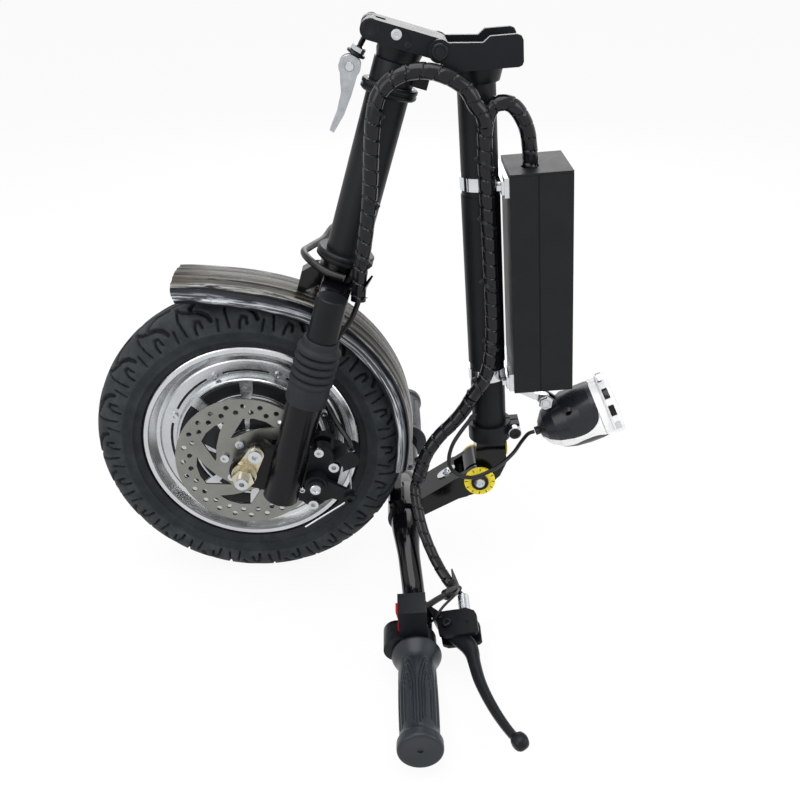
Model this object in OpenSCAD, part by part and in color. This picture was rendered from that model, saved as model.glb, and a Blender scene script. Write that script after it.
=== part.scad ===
// Front-wheel power assist for a wheelchair, folded for storage.
// Millimetres. The origin is the middle of the head tube, on the steering axis.
// +Z is up, the wheel is at the front (-X), the folded stem hangs at the rear (+X).

/* [Head] */
// Backward lean of the steering axis
head_lean = 16; // [12:0.5:20]
// Outside diameter of the head tube
head_tube_d = 38; // [36:0.5:42]
// Length of the head tube
head_tube_len = 146; // [130:1:150]
// Diameter of the steerer tube
steerer_d = 28.6; // [25.4:0.1:29]
// Diameter of the upper bearing cup
cup_d = 50; // [46:0.5:52]
// Diameter of the lower bearing cup
lower_cup_d = 54; // [48:0.5:56]

/* [Fork] */
// Distance between the two leg axes
leg_pitch = 152; // [150:1:160]
// Leg axes ahead of the steering axis
leg_lead = 5; // [2:0.5:8]
// Diameter of the upper leg tubes
stanchion_d = 28; // [25:0.5:29]
// Diameter of the lower leg tubes
slider_d = 34; // [33:0.5:35]
// Diameter over the bellows of the boots
boot_d = 41; // [39:0.5:43]
// Suspension travel
travel = 9; // [6:1:12]

/* [Wheel] */
// Outside diameter of the tyre
tyre_d = 314; // [306:1:316]
// Section width of the tyre
tyre_w = 62; // [56:1:66]
// Diameter of the axle thread
axle_d = 12; // [10:0.5:13]
// Axle ahead of the steering axis
axle_lead = 44; // [41:0.5:46]
// Axle below the middle of the head tube, along the steering axis
axle_drop = 291; // [289:1:296]
// Diameter of the brake rotor
rotor_d = 140; // [136:1:142]
// Width of the fender
fender_w = 78; // [70:1:82]

/* [Stem] */
// Angle that the stem swings through when it unfolds
fold_angle = 160; // [150:1:164]
// Outside diameter of the stem
stem_d = 34; // [31:0.5:35]
// Length of the stem from the hinge pin
stem_len = 380; // [370:1:400]
// Width inside the channel of the upper hinge half
channel_w = 45; // [42:0.5:48]
// Diameter of the fold pin
pin_d = 8; // [6:0.5:9]

/* [Controller and lamp] */
// Controller depth, away from the stem
box_depth = 56; // [48:1:60]
// Controller width
box_width = 72; // [66:1:78]
// Controller length
box_len = 214; // [190:1:216]
// Radius of the headlight
lamp_r = 30; // [26:0.5:32]

/* [Handlebar] */
// Length of the gooseneck
goose_len = 90; // [86:1:96]
// Upward angle of the gooseneck
goose_rise = 28; // [26:1:36]
// Overall width of the handlebar
bar_w = 600; // [580:2:640]
// Height of the grips above the clamp
bar_rise = 33; // [24:1:38]
// Diameter of the handlebar at the clamp
bar_clamp_d = 31.8; // [28.6:0.1:32]
// Diameter of the handlebar at the grips
bar_d = 22.2; // [21:0.1:22.6]
// Diameter of the grips
grip_d = 34; // [32:0.5:35]

/* [Wires] */
// Diameter of the wrapped wire bundle
wrap_d = 14; // [12:0.5:14.5]

/* [Hidden] */
$fn = 48;
// Radial running fit, face gap between neighbours and gap between moving bodies
fit = 0.05;
seat = 0.1;
gap = 0.4;

head_half = head_tube_len / 2;
head_r = head_tube_d / 2;
head_bore = head_r - 3;
steerer_r = steerer_d / 2;
cup_h = 9;
race_r = steerer_r + 6;
crown_top = -head_half - cup_h - 0.6;
collar_low = head_half + cup_h + 0.6;
collar_high = collar_low + 19;

leg_y = leg_pitch / 2;
stanchion_r = stanchion_d / 2;
slider_r = slider_d / 2;
leg_top = crown_top - 9.8;
slider_top = leg_top - 92;
slider_low = -axle_drop - 20;
stanchion_low = slider_top - 40;
boot_top = leg_top - 41;
boot_low = leg_top - 106;

axle_r = axle_d / 2;
tyre_r = tyre_d / 2;
rim_r = tyre_r - 48;
cover_r = rim_r - 16;
bolt_ring_r = rim_r - 28;
motor_r = rim_r - 33;
valve_r = rim_r - 10.4;
rotor_r = rotor_d / 2;
rotor_in = 54.5;
rotor_out = 56.5;
drop_in = 66;
drop_out = 74;
plate_out = drop_out + 3;
cover_face = 24;
panel_count = 8;
panel_pitch = 360 / panel_count;
torque_x = 6;
torque_z = 23;

caliper_x = slider_r - leg_lead + 1;
knob_x = caliper_x + 12;
knob_z = 9;
pinch_x = 60;
pinch_z = 3 - axle_drop;
barrel_x = 50;
barrel_z = 45 - axle_drop;
arm_out = -83;

// Places in the steering frame and in the stem frame, where the stem axis is at x = 0
pin_x = 31;
pin_z = collar_high + 20;
base_half = channel_w / 2 - gap;
base_low = pin_z - 8;
base_top = pin_z + 9;
latch_x = -28.5;
latch_lean = 13.7;
latch_reach = 37.5;
lever_turn = -16.3;
channel_out = channel_w / 2 + 5.5;
plate_low = 9 + gap;
plate_high = plate_low + 8;
stem_r = stem_d / 2;
box_x = -stem_r - 6;
box_s = 105;
strap_s = [box_s + 12, box_s + box_len - 10];
lamp_x = -97;
lamp_s = box_s + box_len + 47;
lamp_tilt = -20;
tilt_x = 31;
tilt_z = -lamp_r - 2;
gland_end = 53;
tilt_at = [lamp_x + tilt_x * cos(lamp_tilt) + tilt_z * sin(lamp_tilt), 0,
           lamp_s - tilt_x * sin(lamp_tilt) + tilt_z * cos(lamp_tilt)];
quill_r = stem_r - 3;
goose_x = 14;
goose_s = stem_len + 45;
barrel_half = 15;
ear_out = 22;
clamp_half = 21;
clamp_r = bar_clamp_d / 2 + 3.5;
clamp_ear = clamp_r + 4.6;
clamp_bolt_z = clamp_r + 0.6;
bar_at = [goose_x + goose_len * cos(goose_rise), 0, goose_s + goose_len * sin(goose_rise)];
grip_at = [bar_at[0] - 4, 0, bar_at[2] + bar_rise];
lever_tilt = -12;
bar_r = bar_d / 2;
bar_end = bar_w / 2;
grip_r = grip_d / 2;
grip_in = bar_end - 109;
housing_in = grip_in - 41;
perch_in = housing_in - 20;
bend_end = perch_in - 7;
lever_x = -32;
rocker_at = [12, 0, -30];
lever_y = -perch_in - 38.5;
adjuster_x = lever_x - 17;
wrap_r = wrap_d / 2;
run_y = -stem_r - wrap_r - 2;
head_y = -channel_out - wrap_r - 3;

// Fender crest over the tyre when the suspension is pressed in, and its rise above that at each angle
fender_r = tyre_r + travel + 3.6;
fender_arc = [[6, -6.5], [16, -5.5], [26, -4], [37, -2.5], [48, -1.5], [59, -0.5], [71, 0], [80, 0], [90, 0],
              [98, 1], [106, 3.5], [112, 6.5], [118, 11], [125, 18]];

// Route of the bundle from the stem over the hinge and down beside the head tube
fork_route = [[71, head_y + 4, 90], [59, head_y + 1, 101], [41, head_y, 106], [21, head_y, 105],
              [3, head_y, 96], [-8, head_y, 80], [-9, head_y, 62], [-3, head_y, 30], [6, head_y, -10],
              [12, head_y, -50], [15, head_y, -78], [20, head_y - 2, -104]];
// Route of the outer brake cable behind the near leg to the caliper
brake_route = [[20.3, head_y - 2.2, -105.4], [18, -44, -122], [9, -47, -148], [6, -48, -182], [13, -52, -206],
               [30, -64, -221], [44, -75, -230], [48, -78, -235]];
// Route of the motor cable from the bundle round the crown to the far axle end
motor_route = [[2.6, head_y + 2, -88], [-14, -31, -88], [-30, -19, -86], [-38, 0, -86], [-33, 22, -87],
               [-22, 52, -86], [-14, 82, -81], [-6, 101, -98], [-4, 104, -150], [-4, 104, -210],
               [-16, 107, -252], [-34, 110, -280], [1 - axle_lead, 107, 1 - axle_drop],
               [-axle_lead, 97.6, -axle_drop]];
// Route of the brake wire from the cable barrel past the pinch bolt to its loose end
wire_route = [[51, -78, -250], [55.5, -77, -269], [60, -76.6, -287], [58, -76.6, -297], [48, -78, -309],
              [37, -80, -321], [26, -82, -333]];
// Routes in the stem frame: loop out of the controller and along the stem, then to the handlebar
stem_route = [[-44, -10, 112], [-44, -11, 92], [-40, -18, 68], [-28, run_y, 48], [-13, run_y - 2, 46],
              [-5, run_y - 2, 60], [-3, run_y, 90], [-4, run_y, 170], [-4, run_y, 258], [3, run_y - 1, 300],
              [18, run_y - 1, 324]];
quill_route = [[18.6, run_y - 1, 325], [27, run_y - 1, 338.4], [39, run_y - 5, 350], [54, run_y - 8, 363],
               [68, -37, 382], [77, -40, 406]];
bar_run = perch_in - 58.5;
bar_route = [[77.4, -40.1, 407], [81, -41.5, 417], [79.5, -41.5 - 0.19 * bar_run, 434],
             [75, -41.5 - 0.4 * bar_run, 453], [66, -41.5 - 0.62 * bar_run, 474],
             [55, -41.5 - 0.85 * bar_run, 489], [46, -41.5 - bar_run, 494]];
lamp_route = [[16, run_y - 12, 336], [40, -44, 366], [44, -45, 392], [26, -42, 408], [0, -36, 404],
              [-20, -22, 397], [-32, -8, 390.5], lamp_point(61), lamp_point(gland_end + 1)];

function unit(v) = v / norm(v);
// A point on the axis of the lamp, in the stem frame
function lamp_point(x) = [lamp_x + x * cos(lamp_tilt), 0, lamp_s - x * sin(lamp_tilt)];
function spline(a, b, c, d, t) =
    0.5 * (2 * b + (c - a) * t + (2 * a - 5 * b + 4 * c - d) * t * t + (3 * b - a - 3 * c + d) * t * t * t);
function smooth_route(p, k) =
    [for (i = [0 : len(p) - 2]) for (j = [0 : k - 1])
        spline(p[max(i - 1, 0)], p[i], p[i + 1], p[min(i + 2, len(p) - 1)], j / k), p[len(p) - 1]];
function heading(p, i) = unit(p[min(i + 1, len(p) - 1)] - p[max(i - 1, 0)]);
function square_to(n, t) = unit(n - (n * t) * t);
function side_vectors(p, i, n) =
    i == len(p) ? [] : let (m = square_to(n, heading(p, i))) concat([m], side_vectors(p, i + 1, m));
function ease(t) = let (c = min(max(t, 0), 1)) c * c * (3 - 2 * c);

module steering() {
    rotate([0, head_lean, 0]) children();
}

module at_wheel() {
    steering() translate([-axle_lead, 0, -axle_drop]) children();
}

module at_stem() {
    steering() translate([pin_x, 0, pin_z]) rotate([0, fold_angle, 0]) translate([-pin_x, 0, 0]) children();
}

module at_lamp() {
    at_stem() translate([lamp_x, 0, lamp_s]) rotate([0, lamp_tilt, 0]) children();
}

module at_goose() {
    at_stem() translate([goose_x, 0, goose_s]) rotate([0, -goose_rise, 0]) children();
}

module at_grip() {
    at_stem() translate(grip_at) children();
}

module at_lever() {
    at_grip() rotate([0, lever_tilt, 0]) children();
}

module at_latch() {
    steering() translate([latch_x, 0, pin_z + 2]) rotate([0, 180 + latch_lean, 0]) children();
}

module rod_x(r, x0, x1) {
    translate([x0, 0, 0]) rotate([0, 90, 0]) cylinder(r = r, h = x1 - x0);
}

module rod_y(r, y0, y1) {
    translate([0, y0, 0]) rotate([-90, 0, 0]) cylinder(r = r, h = y1 - y0);
}

module rod_z(r, z0, z1) {
    translate([0, 0, z0]) cylinder(r = r, h = z1 - z0);
}

module tube_z(ro, ri, z0, z1) {
    difference() {
        rod_z(ro, z0, z1);
        rod_z(ri, z0 - 1, z1 + 1);
    }
}

module ring_y(ro, ri, y0, y1) {
    difference() {
        rod_y(ro, y0, y1);
        rod_y(ri, y0 - 1, y1 + 1);
    }
}

module block(x0, x1, y0, y1, z0, z1) {
    translate([x0, y0, z0]) cube([x1 - x0, y1 - y0, z1 - z0]);
}

// A flat outline in x and z, thick along y
module slab(y0, y1) {
    translate([0, y1, 0]) rotate([90, 0, 0]) linear_extrude(y1 - y0) children();
}

// A profile of radius and y, turned about the y axis
module turned() {
    rotate([-90, 0, 0]) rotate_extrude($fn = 96) children();
}

// Two round ends joined by straight sides
module link(p, q, rp, rq) {
    side = [-(q - p)[1], (q - p)[0]] / norm(q - p);
    translate(p) circle(rp);
    translate(q) circle(rq);
    polygon([p + side * rp, q + side * rq, q - side * rq, p - side * rp]);
}

// A sector of a flat ring
module sector(ri, ro, from, to) {
    steps = 6;
    arc = [for (i = [0 : steps]) from + (to - from) * i / steps];
    inner = [for (i = [0 : steps]) let (a = arc[steps - i]) ri * [cos(a), sin(a)]];
    polygon(concat([for (a = arc) ro * [cos(a), sin(a)]], inner));
}

// A closed skin over rings of points, each ring with the same even count
module skin(rings) {
    n = len(rings[0]);
    m = len(rings);
    points = [for (ring = rings) for (p = ring) p];
    walls = [for (i = [0 : m - 2]) for (k = [0 : n - 1]) let (a = i * n + k, b = i * n + (k + 1) % n)
        each [[a, a + n, b], [b, a + n, b + n]]];
    last = (m - 1) * n;
    caps = [for (k = [0 : n / 2 - 2]) let (a = k, b = k + 1, c = n - 2 - k, d = n - 1 - k)
        each [[a, b, c], [a, c, d], [last + a, last + c, last + b], [last + a, last + d, last + c]]];
    polyhedron(points = points, faces = concat(walls, caps));
}

// A round strand along a route, with a radius for each point
module strand(p, radii, sides) {
    first = heading(p, 0);
    start = abs(first[1]) < 0.9 ? cross(first, [0, 1, 0]) : cross(first, [1, 0, 0]);
    across = side_vectors(p, 0, start);
    skin([for (i = [0 : len(p) - 1]) let (u = across[i], v = cross(heading(p, i), u))
        [for (k = [0 : sides - 1]) p[i] + radii[i] * (cos(360 * k / sides) * u + sin(360 * k / sides) * v)]]);
}

module cable(route, r, steps, sides) {
    p = smooth_route(route, steps);
    strand(p, [for (q = p) r], sides);
}

module head_tube() {
    color("#23252a") steering() tube_z(head_r, head_bore, -head_half, head_half);
}

module headset_cup(d) {
    rotate_extrude()
        polygon([[steerer_r + 0.8, -8], [head_bore - fit, -8], [head_bore - fit, 0], [d / 2 - 1.5, 0],
                 [d / 2, 1.5], [d / 2, 3.5], [d / 2 - 1, 4.3], [d / 2 - 1, 5], [d / 2, 5.8],
                         [d / 2, cup_h - 1],
                 [d / 2 - 1, cup_h], [race_r + fit, cup_h], [race_r + fit, 2], [steerer_r + 0.8, 2]]);
}

module headset_cups() {
    color("#1d1f23") steering() {
        translate([0, 0, head_half]) headset_cup(cup_d);
        mirror([0, 0, 1]) translate([0, 0, head_half]) headset_cup(lower_cup_d);
    }
}

module headset_bearings() {
    color("#9a9da2") steering()
        for (side = [0, 1])
            mirror([0, 0, side]) tube_z(race_r, steerer_r + fit, head_half + 2, head_half + cup_h + 0.2);
}

module steerer_tube() {
    color("#55585d") steering() tube_z(steerer_r, steerer_r - 2.6, crown_top - 28, base_low - 2);
}

// Arm from the hub of the crown to the inner side of one leg
module crown_arm() {
    hull() {
        rod_z(15, crown_top - 24, crown_top - 8, $fn = 32);
        translate([-leg_lead, leg_y, 0]) rod_z(stanchion_r - 1, crown_top - 39, crown_top - 21, $fn = 32);
    }
}

module fork_crown() {
    tab_low = -axle_drop + fender_r - 0.4;
    color("#101114") steering() difference() {
        union() {
            translate([0, 0, crown_top - 29]) cylinder(r1 = 18.5, r2 = 22, h = 29);
            crown_arm();
            mirror([0, 1, 0]) crown_arm();
            slab(-8, 8)
                polygon([[-16, crown_top - 8], [-28, crown_top - 12], [-36, crown_top - 20],
                         [-36, tab_low], [-30, tab_low], [-16, crown_top - 27]]);
        }
        rod_z(steerer_r + fit, crown_top - 30, crown_top + 1);
        for (side = [-1, 1])
            translate([-leg_lead, side * leg_y, 0]) rod_z(stanchion_r + fit, leg_top - 60, leg_top + 30);
    }
}

module stanchions() {
    color("#1b1d20") steering()
        for (side = [-1, 1])
            translate([-leg_lead, side * leg_y, 0]) difference() {
                union() {
                    rod_z(stanchion_r, stanchion_low, leg_top - 1);
                    translate([0, 0, leg_top - 1]) cylinder(r1 = stanchion_r, r2 = stanchion_r - 1, h = 1);
                }
                rod_z(stanchion_r - 3, stanchion_low - 1, leg_top - 12);
            }
}

module fork_springs() {
    turns = 7;
    top = stanchion_low - gap;
    low = slider_low + 14 + gap;
    wire_r = 1.6;
    coil_r = slider_r - 7;
    echo(spring_gap = (top - low - 2 * wire_r) / turns - 2 * wire_r);
    coil = [for (i = [0 : turns * 10]) [coil_r * cos(i * 36), coil_r * sin(i * 36),
            low + wire_r + (top - low - 2 * wire_r) * i / (turns * 10)]];
    color("#8b8e92") steering()
        for (side = [-1, 1])
            translate([-leg_lead, side * leg_y, 0]) strand(coil, [for (q = coil) wire_r], 6);
}

module steerer_clamp() {
    ear_z = (collar_low + collar_high) / 2;
    color("#1a1c1f") steering() {
        difference() {
            union() {
                rod_z(19.5, collar_low, collar_high - seat);
                block(10, 31, -8, 8, ear_z - 6.5, ear_z + 6.5);
            }
            rod_z(steerer_r + fit, collar_low - 1, collar_high + 1);
            block(10, 32, -1, 1, collar_low - 1, collar_high + 1);
            translate([25, 0, ear_z]) rod_y(3 + fit, -9, 9);
        }
        translate([25, 0, ear_z]) {
            rod_y(3, -8 - seat, 8);
            rod_y(5, -12, -8 - seat);
        }
    }
}

module hinge_base() {
    color("#17181b") steering() difference() {
        union() {
            slab(-base_half, base_half) {
                translate([pin_x, pin_z]) circle(9);
                translate([latch_x, pin_z + 0.5]) circle(8.5);
                translate([latch_x, base_low]) square([pin_x - latch_x, base_top - base_low]);
            }
            translate([0, 0, collar_high]) cylinder(r1 = 18, r2 = 21.5, h = base_low - collar_high + 2);
        }
        rod_z(steerer_r + fit, collar_high - 1, base_low - 2 + seat);
        translate([pin_x, 0, pin_z]) rod_y(pin_d / 2 + fit, -40, 40);
        translate([latch_x, 0, pin_z + 2]) rod_y(3.5 + fit, -40, 40);
        block(latch_x - 12, latch_x + 11, -5.4, 5.4, base_low - 5, base_top + 5);
        for (side = [-1, 1])
            translate([0, side * base_half, pin_z]) rod_y(6.5, -0.8, 0.8);
    }
}

module hinge_pins() {
    color("#8f9296") steering() {
        translate([pin_x, 0, pin_z]) difference() {
            union() {
                rod_y(pin_d / 2, -channel_out - seat, channel_out + seat);
                rod_y(6.5, -channel_out - 2, -channel_out - seat);
                rod_y(6.5, channel_out + seat, channel_out + 2);
            }
            rod_y(2.6, -channel_out - 3, -channel_out + 3, $fn = 6);
        }
        translate([latch_x, 0, pin_z + 2]) rod_y(3.5, -base_half + 0.2, base_half - 0.2);
    }
}

// One cross-section of the fender: crest at radius r, side skirts turned down
function fender_ring(a, r) =
    let (h = fender_w / 2,
         outer = [[-h, -17], [-h + 1.5, -8], [-h + 10, -3.4], [-11, -0.9], [0, 0], [11, -0.9], [h - 10, -3.4],
                  [h - 1.5, -8], [h, -17]],
         inner = [[h - 2, -17], [h - 3.5, -9.3], [h - 11, -5.4], [10, -3], [0, -2.2], [-10, -3],
                  [-h + 11, -5.4], [-h + 3.5, -9.3], [-h + 2, -17]])
    [for (q = concat(outer, inner)) [(r + q[1]) * cos(a), q[0], (r + q[1]) * sin(a)]];

module fender() {
    color("#0d0e10") at_wheel() skin([for (s = fender_arc) fender_ring(s[0], fender_r + s[1])]);
}

module fork_harness() {
    color("#1c1d20") steering() cable(fork_route, wrap_r, 3, 10);
}

// Plate that carries the axle, welded to a slider
module dropout() {
    slab(drop_in, drop_out) {
        link([-axle_lead, -axle_drop], [-leg_lead, -axle_drop - 4], 15, 12);
        link([-axle_lead, -axle_drop], [-axle_lead + torque_x, -axle_drop + torque_z], 12, 8);
        polygon([[-axle_lead + torque_x, -axle_drop + torque_z + 7], [-leg_lead, -axle_drop + torque_z + 12],
                 [-leg_lead, -axle_drop - 15], [-axle_lead, -axle_drop]]);
    }
}

// One slider, drawn on the +y side, with or without the lug for the caliper
module fork_slider(lug) {
    difference() {
        union() {
            translate([-leg_lead, leg_y, 0]) {
                rod_z(slider_r, slider_low + 3, slider_top);
                translate([0, 0, slider_low]) cylinder(r1 = slider_r - 4, r2 = slider_r, h = 3);
            }
            dropout();
            if (lug)
                block(-leg_lead + 8, caliper_x - seat, leg_y - 12, leg_y - 2, -axle_drop - 16,
                      -axle_drop + 42);
        }
        translate([-leg_lead, leg_y, 0]) rod_z(stanchion_r + 0.08, slider_low + 14, slider_top + 1);
        translate([-axle_lead, 0, -axle_drop]) rod_y(axle_r + fit, 50, 90);
        translate([-axle_lead + torque_x, 0, -axle_drop + torque_z]) rod_y(3 + fit, 50, 90);
    }
}

module fork_sliders() {
    color("#15171a") steering() {
        fork_slider(false);
        mirror([0, 1, 0]) fork_slider(true);
    }
}

// Bellows: a collar on the stanchion, convolutions, a collar on the slider
module fork_boots() {
    folds = 5;
    fold_low = boot_low + 19;
    pitch = (boot_top - 7 - fold_low) / folds;
    crest = boot_d / 2;
    out = [for (i = [0 : folds - 1]) each [[crest - 3.6, fold_low + i * pitch],
          [crest, fold_low + (i + 0.4) * pitch], [crest - 0.4, fold_low + (i + 0.65) * pitch]]];
    back = [for (i = [folds - 1 : -1 : 0]) each [[crest - 2.2, fold_low + (i + 0.55) * pitch],
           [crest - 5, fold_low + i * pitch]]];
    wall = concat([[slider_r + fit, boot_low], [slider_r + 2, boot_low], [slider_r + 2.4, fold_low - 2]], out,
                  [[stanchion_r + 2.6, boot_top - 6], [stanchion_r + 2.4, boot_top],
                   [stanchion_r + fit, boot_top],
                   [stanchion_r + fit, boot_top - 5]], [for (q = back) [max(q[0], slider_r + fit - 2), q[1]]],
                  [[slider_r + fit, slider_top + 1]]);
    color("#2a2c2f") steering()
        for (side = [-1, 1])
            translate([-leg_lead, side * leg_y, 0]) rotate_extrude() polygon(wall);
}

module axle() {
    color("#6d6f73") at_wheel() difference() {
        union() {
            rod_y(axle_r, -97, 97);
            rod_y(7.5, -36, 36);
            for (side = [0, 1])
                mirror([0, side, 0]) rod_y(10, 58, drop_in - seat);
        }
        for (side = [0, 1])
            mirror([0, side, 0]) rod_y(2.5, 90, 98);
    }
}

module axle_hardware() {
    color("#c9a94f") at_wheel()
        for (side = [0, 1])
            mirror([0, side, 0]) {
                difference() {
                    slab(drop_out + seat, plate_out) link([0, 0], [torque_x, torque_z], 11, 8);
                    rod_y(axle_r + fit, 60, 100);
                    translate([torque_x, 0, torque_z]) rod_y(3 + fit, 60, 100);
                }
                difference() {
                    union() {
                        rod_y(12, plate_out + seat, plate_out + 2.5);
                        rod_y(11, plate_out + 2.5, plate_out + 12, $fn = 6);
                    }
                    rod_y(axle_r + fit, 60, 100);
                }
            }
}

// A socket-head bolt pointing along +y from its head
module bolt_y(r, length, head_r, head_h) {
    rod_y(r, 0, length);
    difference() {
        rod_y(head_r, -head_h, 0);
        rod_y(head_r * 0.5, -head_h - 1, -head_h * 0.4, $fn = 6);
    }
}

module fork_bolts() {
    color("#c3c6c9") {
        at_wheel()
            for (side = [0, 1])
                mirror([0, side, 0]) translate([torque_x, -plate_out - seat, torque_z])
                    bolt_y(3, 8, 6.5, 4.5);
        steering() {
            translate([caliper_x + 7, -72 - seat, -axle_drop + 40]) bolt_y(2.5, 10, 4.5, 4);
            translate([caliper_x + 24, -72 - seat, -axle_drop + 31]) bolt_y(3, 12, 5, 9);
            translate([caliper_x + 15, -72 - seat, -axle_drop - 17]) bolt_y(2.5, 10, 5, 7);
            translate([barrel_x, -78, barrel_z]) rotate([0, 166.1, 0])
                tube_z(4, 1.6, -9, 9);
        }
    }
}

module stator() {
    color("#a6703a") at_wheel() difference() {
        union() {
            rod_y(motor_r - 8, -9, 9);
            ring_y(motor_r - 14, motor_r - 30, -17, 17);
        }
        rod_y(7.5 + fit, -20, 20);
        for (i = [0 : 11])
            rotate([0, i * 30, 0]) block(motor_r - 26, motor_r, -20, 20, -2.2, 2.2);
    }
}

module brake_caliper() {
    x0 = caliper_x;
    z0 = -axle_drop;
    color("#141517") steering() difference() {
        union() {
            slab(-72, -41) {
                link([x0 + 11, z0 + 35], [x0 + 13, z0 - 10], 11, 13);
                link([x0 + 24, z0 + 31], [x0 + 20, z0 - 2], 8, 13);
                link([x0 + 15, z0 - 17], [x0 + 14, z0], 7, 12);
                translate([x0, z0 - 20]) square([12, 60]);
            }
            slab(-84, -60) link([x0 + 26, z0 + 34], [barrel_x, barrel_z], 7, 8.5);
        }
        block(x0 - 1, rotor_r - axle_lead + 3.5, -60, -51, z0 - 60, z0 + 80);
        translate([knob_x, 0, z0 + knob_z]) rod_y(6 + fit, -90, -55);
        translate([x0 + 7, 0, z0 + 40]) rod_y(2.5 + fit, -90, -60);
        translate([x0 + 24, 0, z0 + 31]) rod_y(3 + fit, -90, -58);
        translate([x0 + 24, 0, z0 + 31]) rod_y(9, -90, -72);
        translate([x0 + 15, 0, z0 - 17]) rod_y(2.5 + fit, -90, -60);
        translate([barrel_x, -78, barrel_z]) rotate([0, 166.1, 0]) rod_z(4 + fit, -30, 30);
        block(-60, x0, -80, -40, z0 - 60, z0 + 80);
        translate([-leg_lead, -leg_y, 0]) rod_z(slider_r + 0.5, slider_low - 9, slider_top);
    }
    color("#7c6a55") steering()
        block(x0 - 4, x0 + 11, -rotor_in + 0.6, -51 - seat, z0 - 6, z0 + 22);
}

module brake_cable() {
    color("#18191b") steering() cable(brake_route, 2.5, 4, 8);
}

module motor_cable() {
    color("#18191b") steering() cable(motor_route, 3.5, 3, 8);
}

// Hollow tyre section as radius and y
module tyre_section() {
    k = tyre_w / 62;
    top = tyre_r;
    half = [[top, 0], [top - 0.6, 8], [top - 2.2, 15], [top - 5.5, 21.5], [top - 11, 26.8], [top - 18, 30],
            [top - 26, 31], [top - 34, 30], [top - 41, 28]];
    bead = [[rim_r + 1.2, 25.2], [rim_r + 1.2, 21], [rim_r - 6, 20], [rim_r - 6, 14], [rim_r + 1, 16.5]];
    back = [[top - 36, 24], [top - 27, 26], [top - 18, 24.5], [top - 11, 19.5], [top - 7.5, 11],
            [top - 6.5, 0]];
    near = concat([for (q = half) [q[0], q[1] * k]], bead, [for (q = back) [q[0], q[1] * k]]);
    polygon(concat(near, [for (i = [len(near) - 2 : -1 : 1]) [near[i][0], -near[i][1]]]));
}

module tyre() {
    color("#1b1c1e") at_wheel() difference() {
        turned() tyre_section();
        for (side = [-1, 1])
            turned() translate([tyre_r - 1.5, side * 9]) square([6, 2.4], center = true);
    }
}

module rim() {
    half = [[rim_r - 12, 7], [rim_r - 6.6, 12], [rim_r - 6.4, 20.6], [rim_r, 21.4], [rim_r, 23.6],
            [rim_r - 1.4, 24.6], [rim_r - 5.4, 24.6], [rim_r - 6.4, 22.4], [rim_r - 12.6, 16.6],
                [cover_r, 15.6], [cover_r, 13], [motor_r, 13]];
    color("#c9ccd0") at_wheel() difference() {
        turned() polygon(concat(half, [for (i = [len(half) - 1 : -1 : 0]) [half[i][0], -half[i][1]]]));
        for (i = [0 : panel_count - 1])
            rotate([0, (i + 0.5) * panel_pitch - head_lean, 0]) translate([bolt_ring_r, 0, 0])
                rod_y(2 + fit, -20, 20);
        rotate([0, 90 - head_lean, 0]) translate([valve_r, 0, 0]) rod_y(2.4 + fit, 0, 30);
    }
}

// One side cover of the motor, drawn on the +y side, with a boss out to the given face
module motor_cover(face) {
    difference() {
        turned()
            polygon([[cover_r - 0.6, 13 + seat], [cover_r - 0.6, 15.6], [cover_r - 2, 16.6], [motor_r, 16.6],
                     [motor_r - 1, cover_face - 1], [motor_r - 2, cover_face], [motor_r - 30, cover_face + 2],
                     [34, cover_face + 11], [26, cover_face + 13], [26, face - 1], [25, face], [9, face],
                     [9, 33], [16 + fit, 33], [16 + fit, cover_face - 2], [motor_r - 8, cover_face - 4],
                     [motor_r - 0.6, 13 + seat]]);
        for (i = [0 : panel_count - 1])
            rotate([0, i * panel_pitch - head_lean, 0]) {
                slab(cover_face - 1.6, cover_face + 20)
                    sector(motor_r - 19, motor_r - 3.5, 5, panel_pitch - 5);
                slab(15.6, 20)
                    sector(bolt_ring_r - 1.4, bolt_ring_r + 1.4, panel_pitch / 2 + 6, panel_pitch * 1.5 - 6);
                rotate([0, panel_pitch / 2, 0]) translate([bolt_ring_r, 0, 0]) rod_y(2 + fit, 0, 30);
            }
    }
}

module motor_covers() {
    color("#b9bcc0") at_wheel() {
        motor_cover(46);
        mirror([0, 1, 0]) difference() {
            motor_cover(rotor_in - fit);
            for (i = [0 : 5])
                rotate([0, i * 60, 0]) translate([22, 0, 0]) rod_y(2.5 + fit, 44, 60);
        }
    }
}

module wheel_bolts() {
    color("#a9acb0") at_wheel() {
        for (side = [0, 1])
            mirror([0, side, 0])
                for (i = [0 : panel_count - 1])
                    rotate([0, (i + 0.5) * panel_pitch - head_lean, 0]) translate(
                            [bolt_ring_r, -16.6 - seat, 0])
                        bolt_y(2, 8, 3.4, 2.6);
        for (i = [0 : 5])
            rotate([0, i * 60, 0]) translate([22, -rotor_out - seat, 0]) bolt_y(2.5, 9, 4.2, 3);
    }
}

module brake_rotor() {
    holes = 24;
    color("#9c9fa3") at_wheel() slab(-rotor_out, -rotor_in) difference() {
        circle(rotor_r, $fn = 96);
        circle(13);
        for (i = [0 : holes - 1])
            rotate(i * 360 / holes) {
                translate([rotor_r - 7.5, 0]) circle(2.6, $fn = 20);
                rotate(7.5) translate([rotor_r - 14, 0]) circle(2.6, $fn = 20);
            }
        for (i = [0 : 5])
            rotate(i * 60) {
                translate([22, 0]) circle(2.5 + fit);
                polygon([49 * [cos(8), sin(8)], 50 * [cos(20), sin(20)], 50 * [cos(34), sin(34)],
                         49 * [cos(46), sin(46)], 31 * [cos(72), sin(72)], 30 * [cos(66), sin(66)],
                         34 * [cos(42), sin(42)], 41 * [cos(22), sin(22)]]);
            }
    }
}

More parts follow.
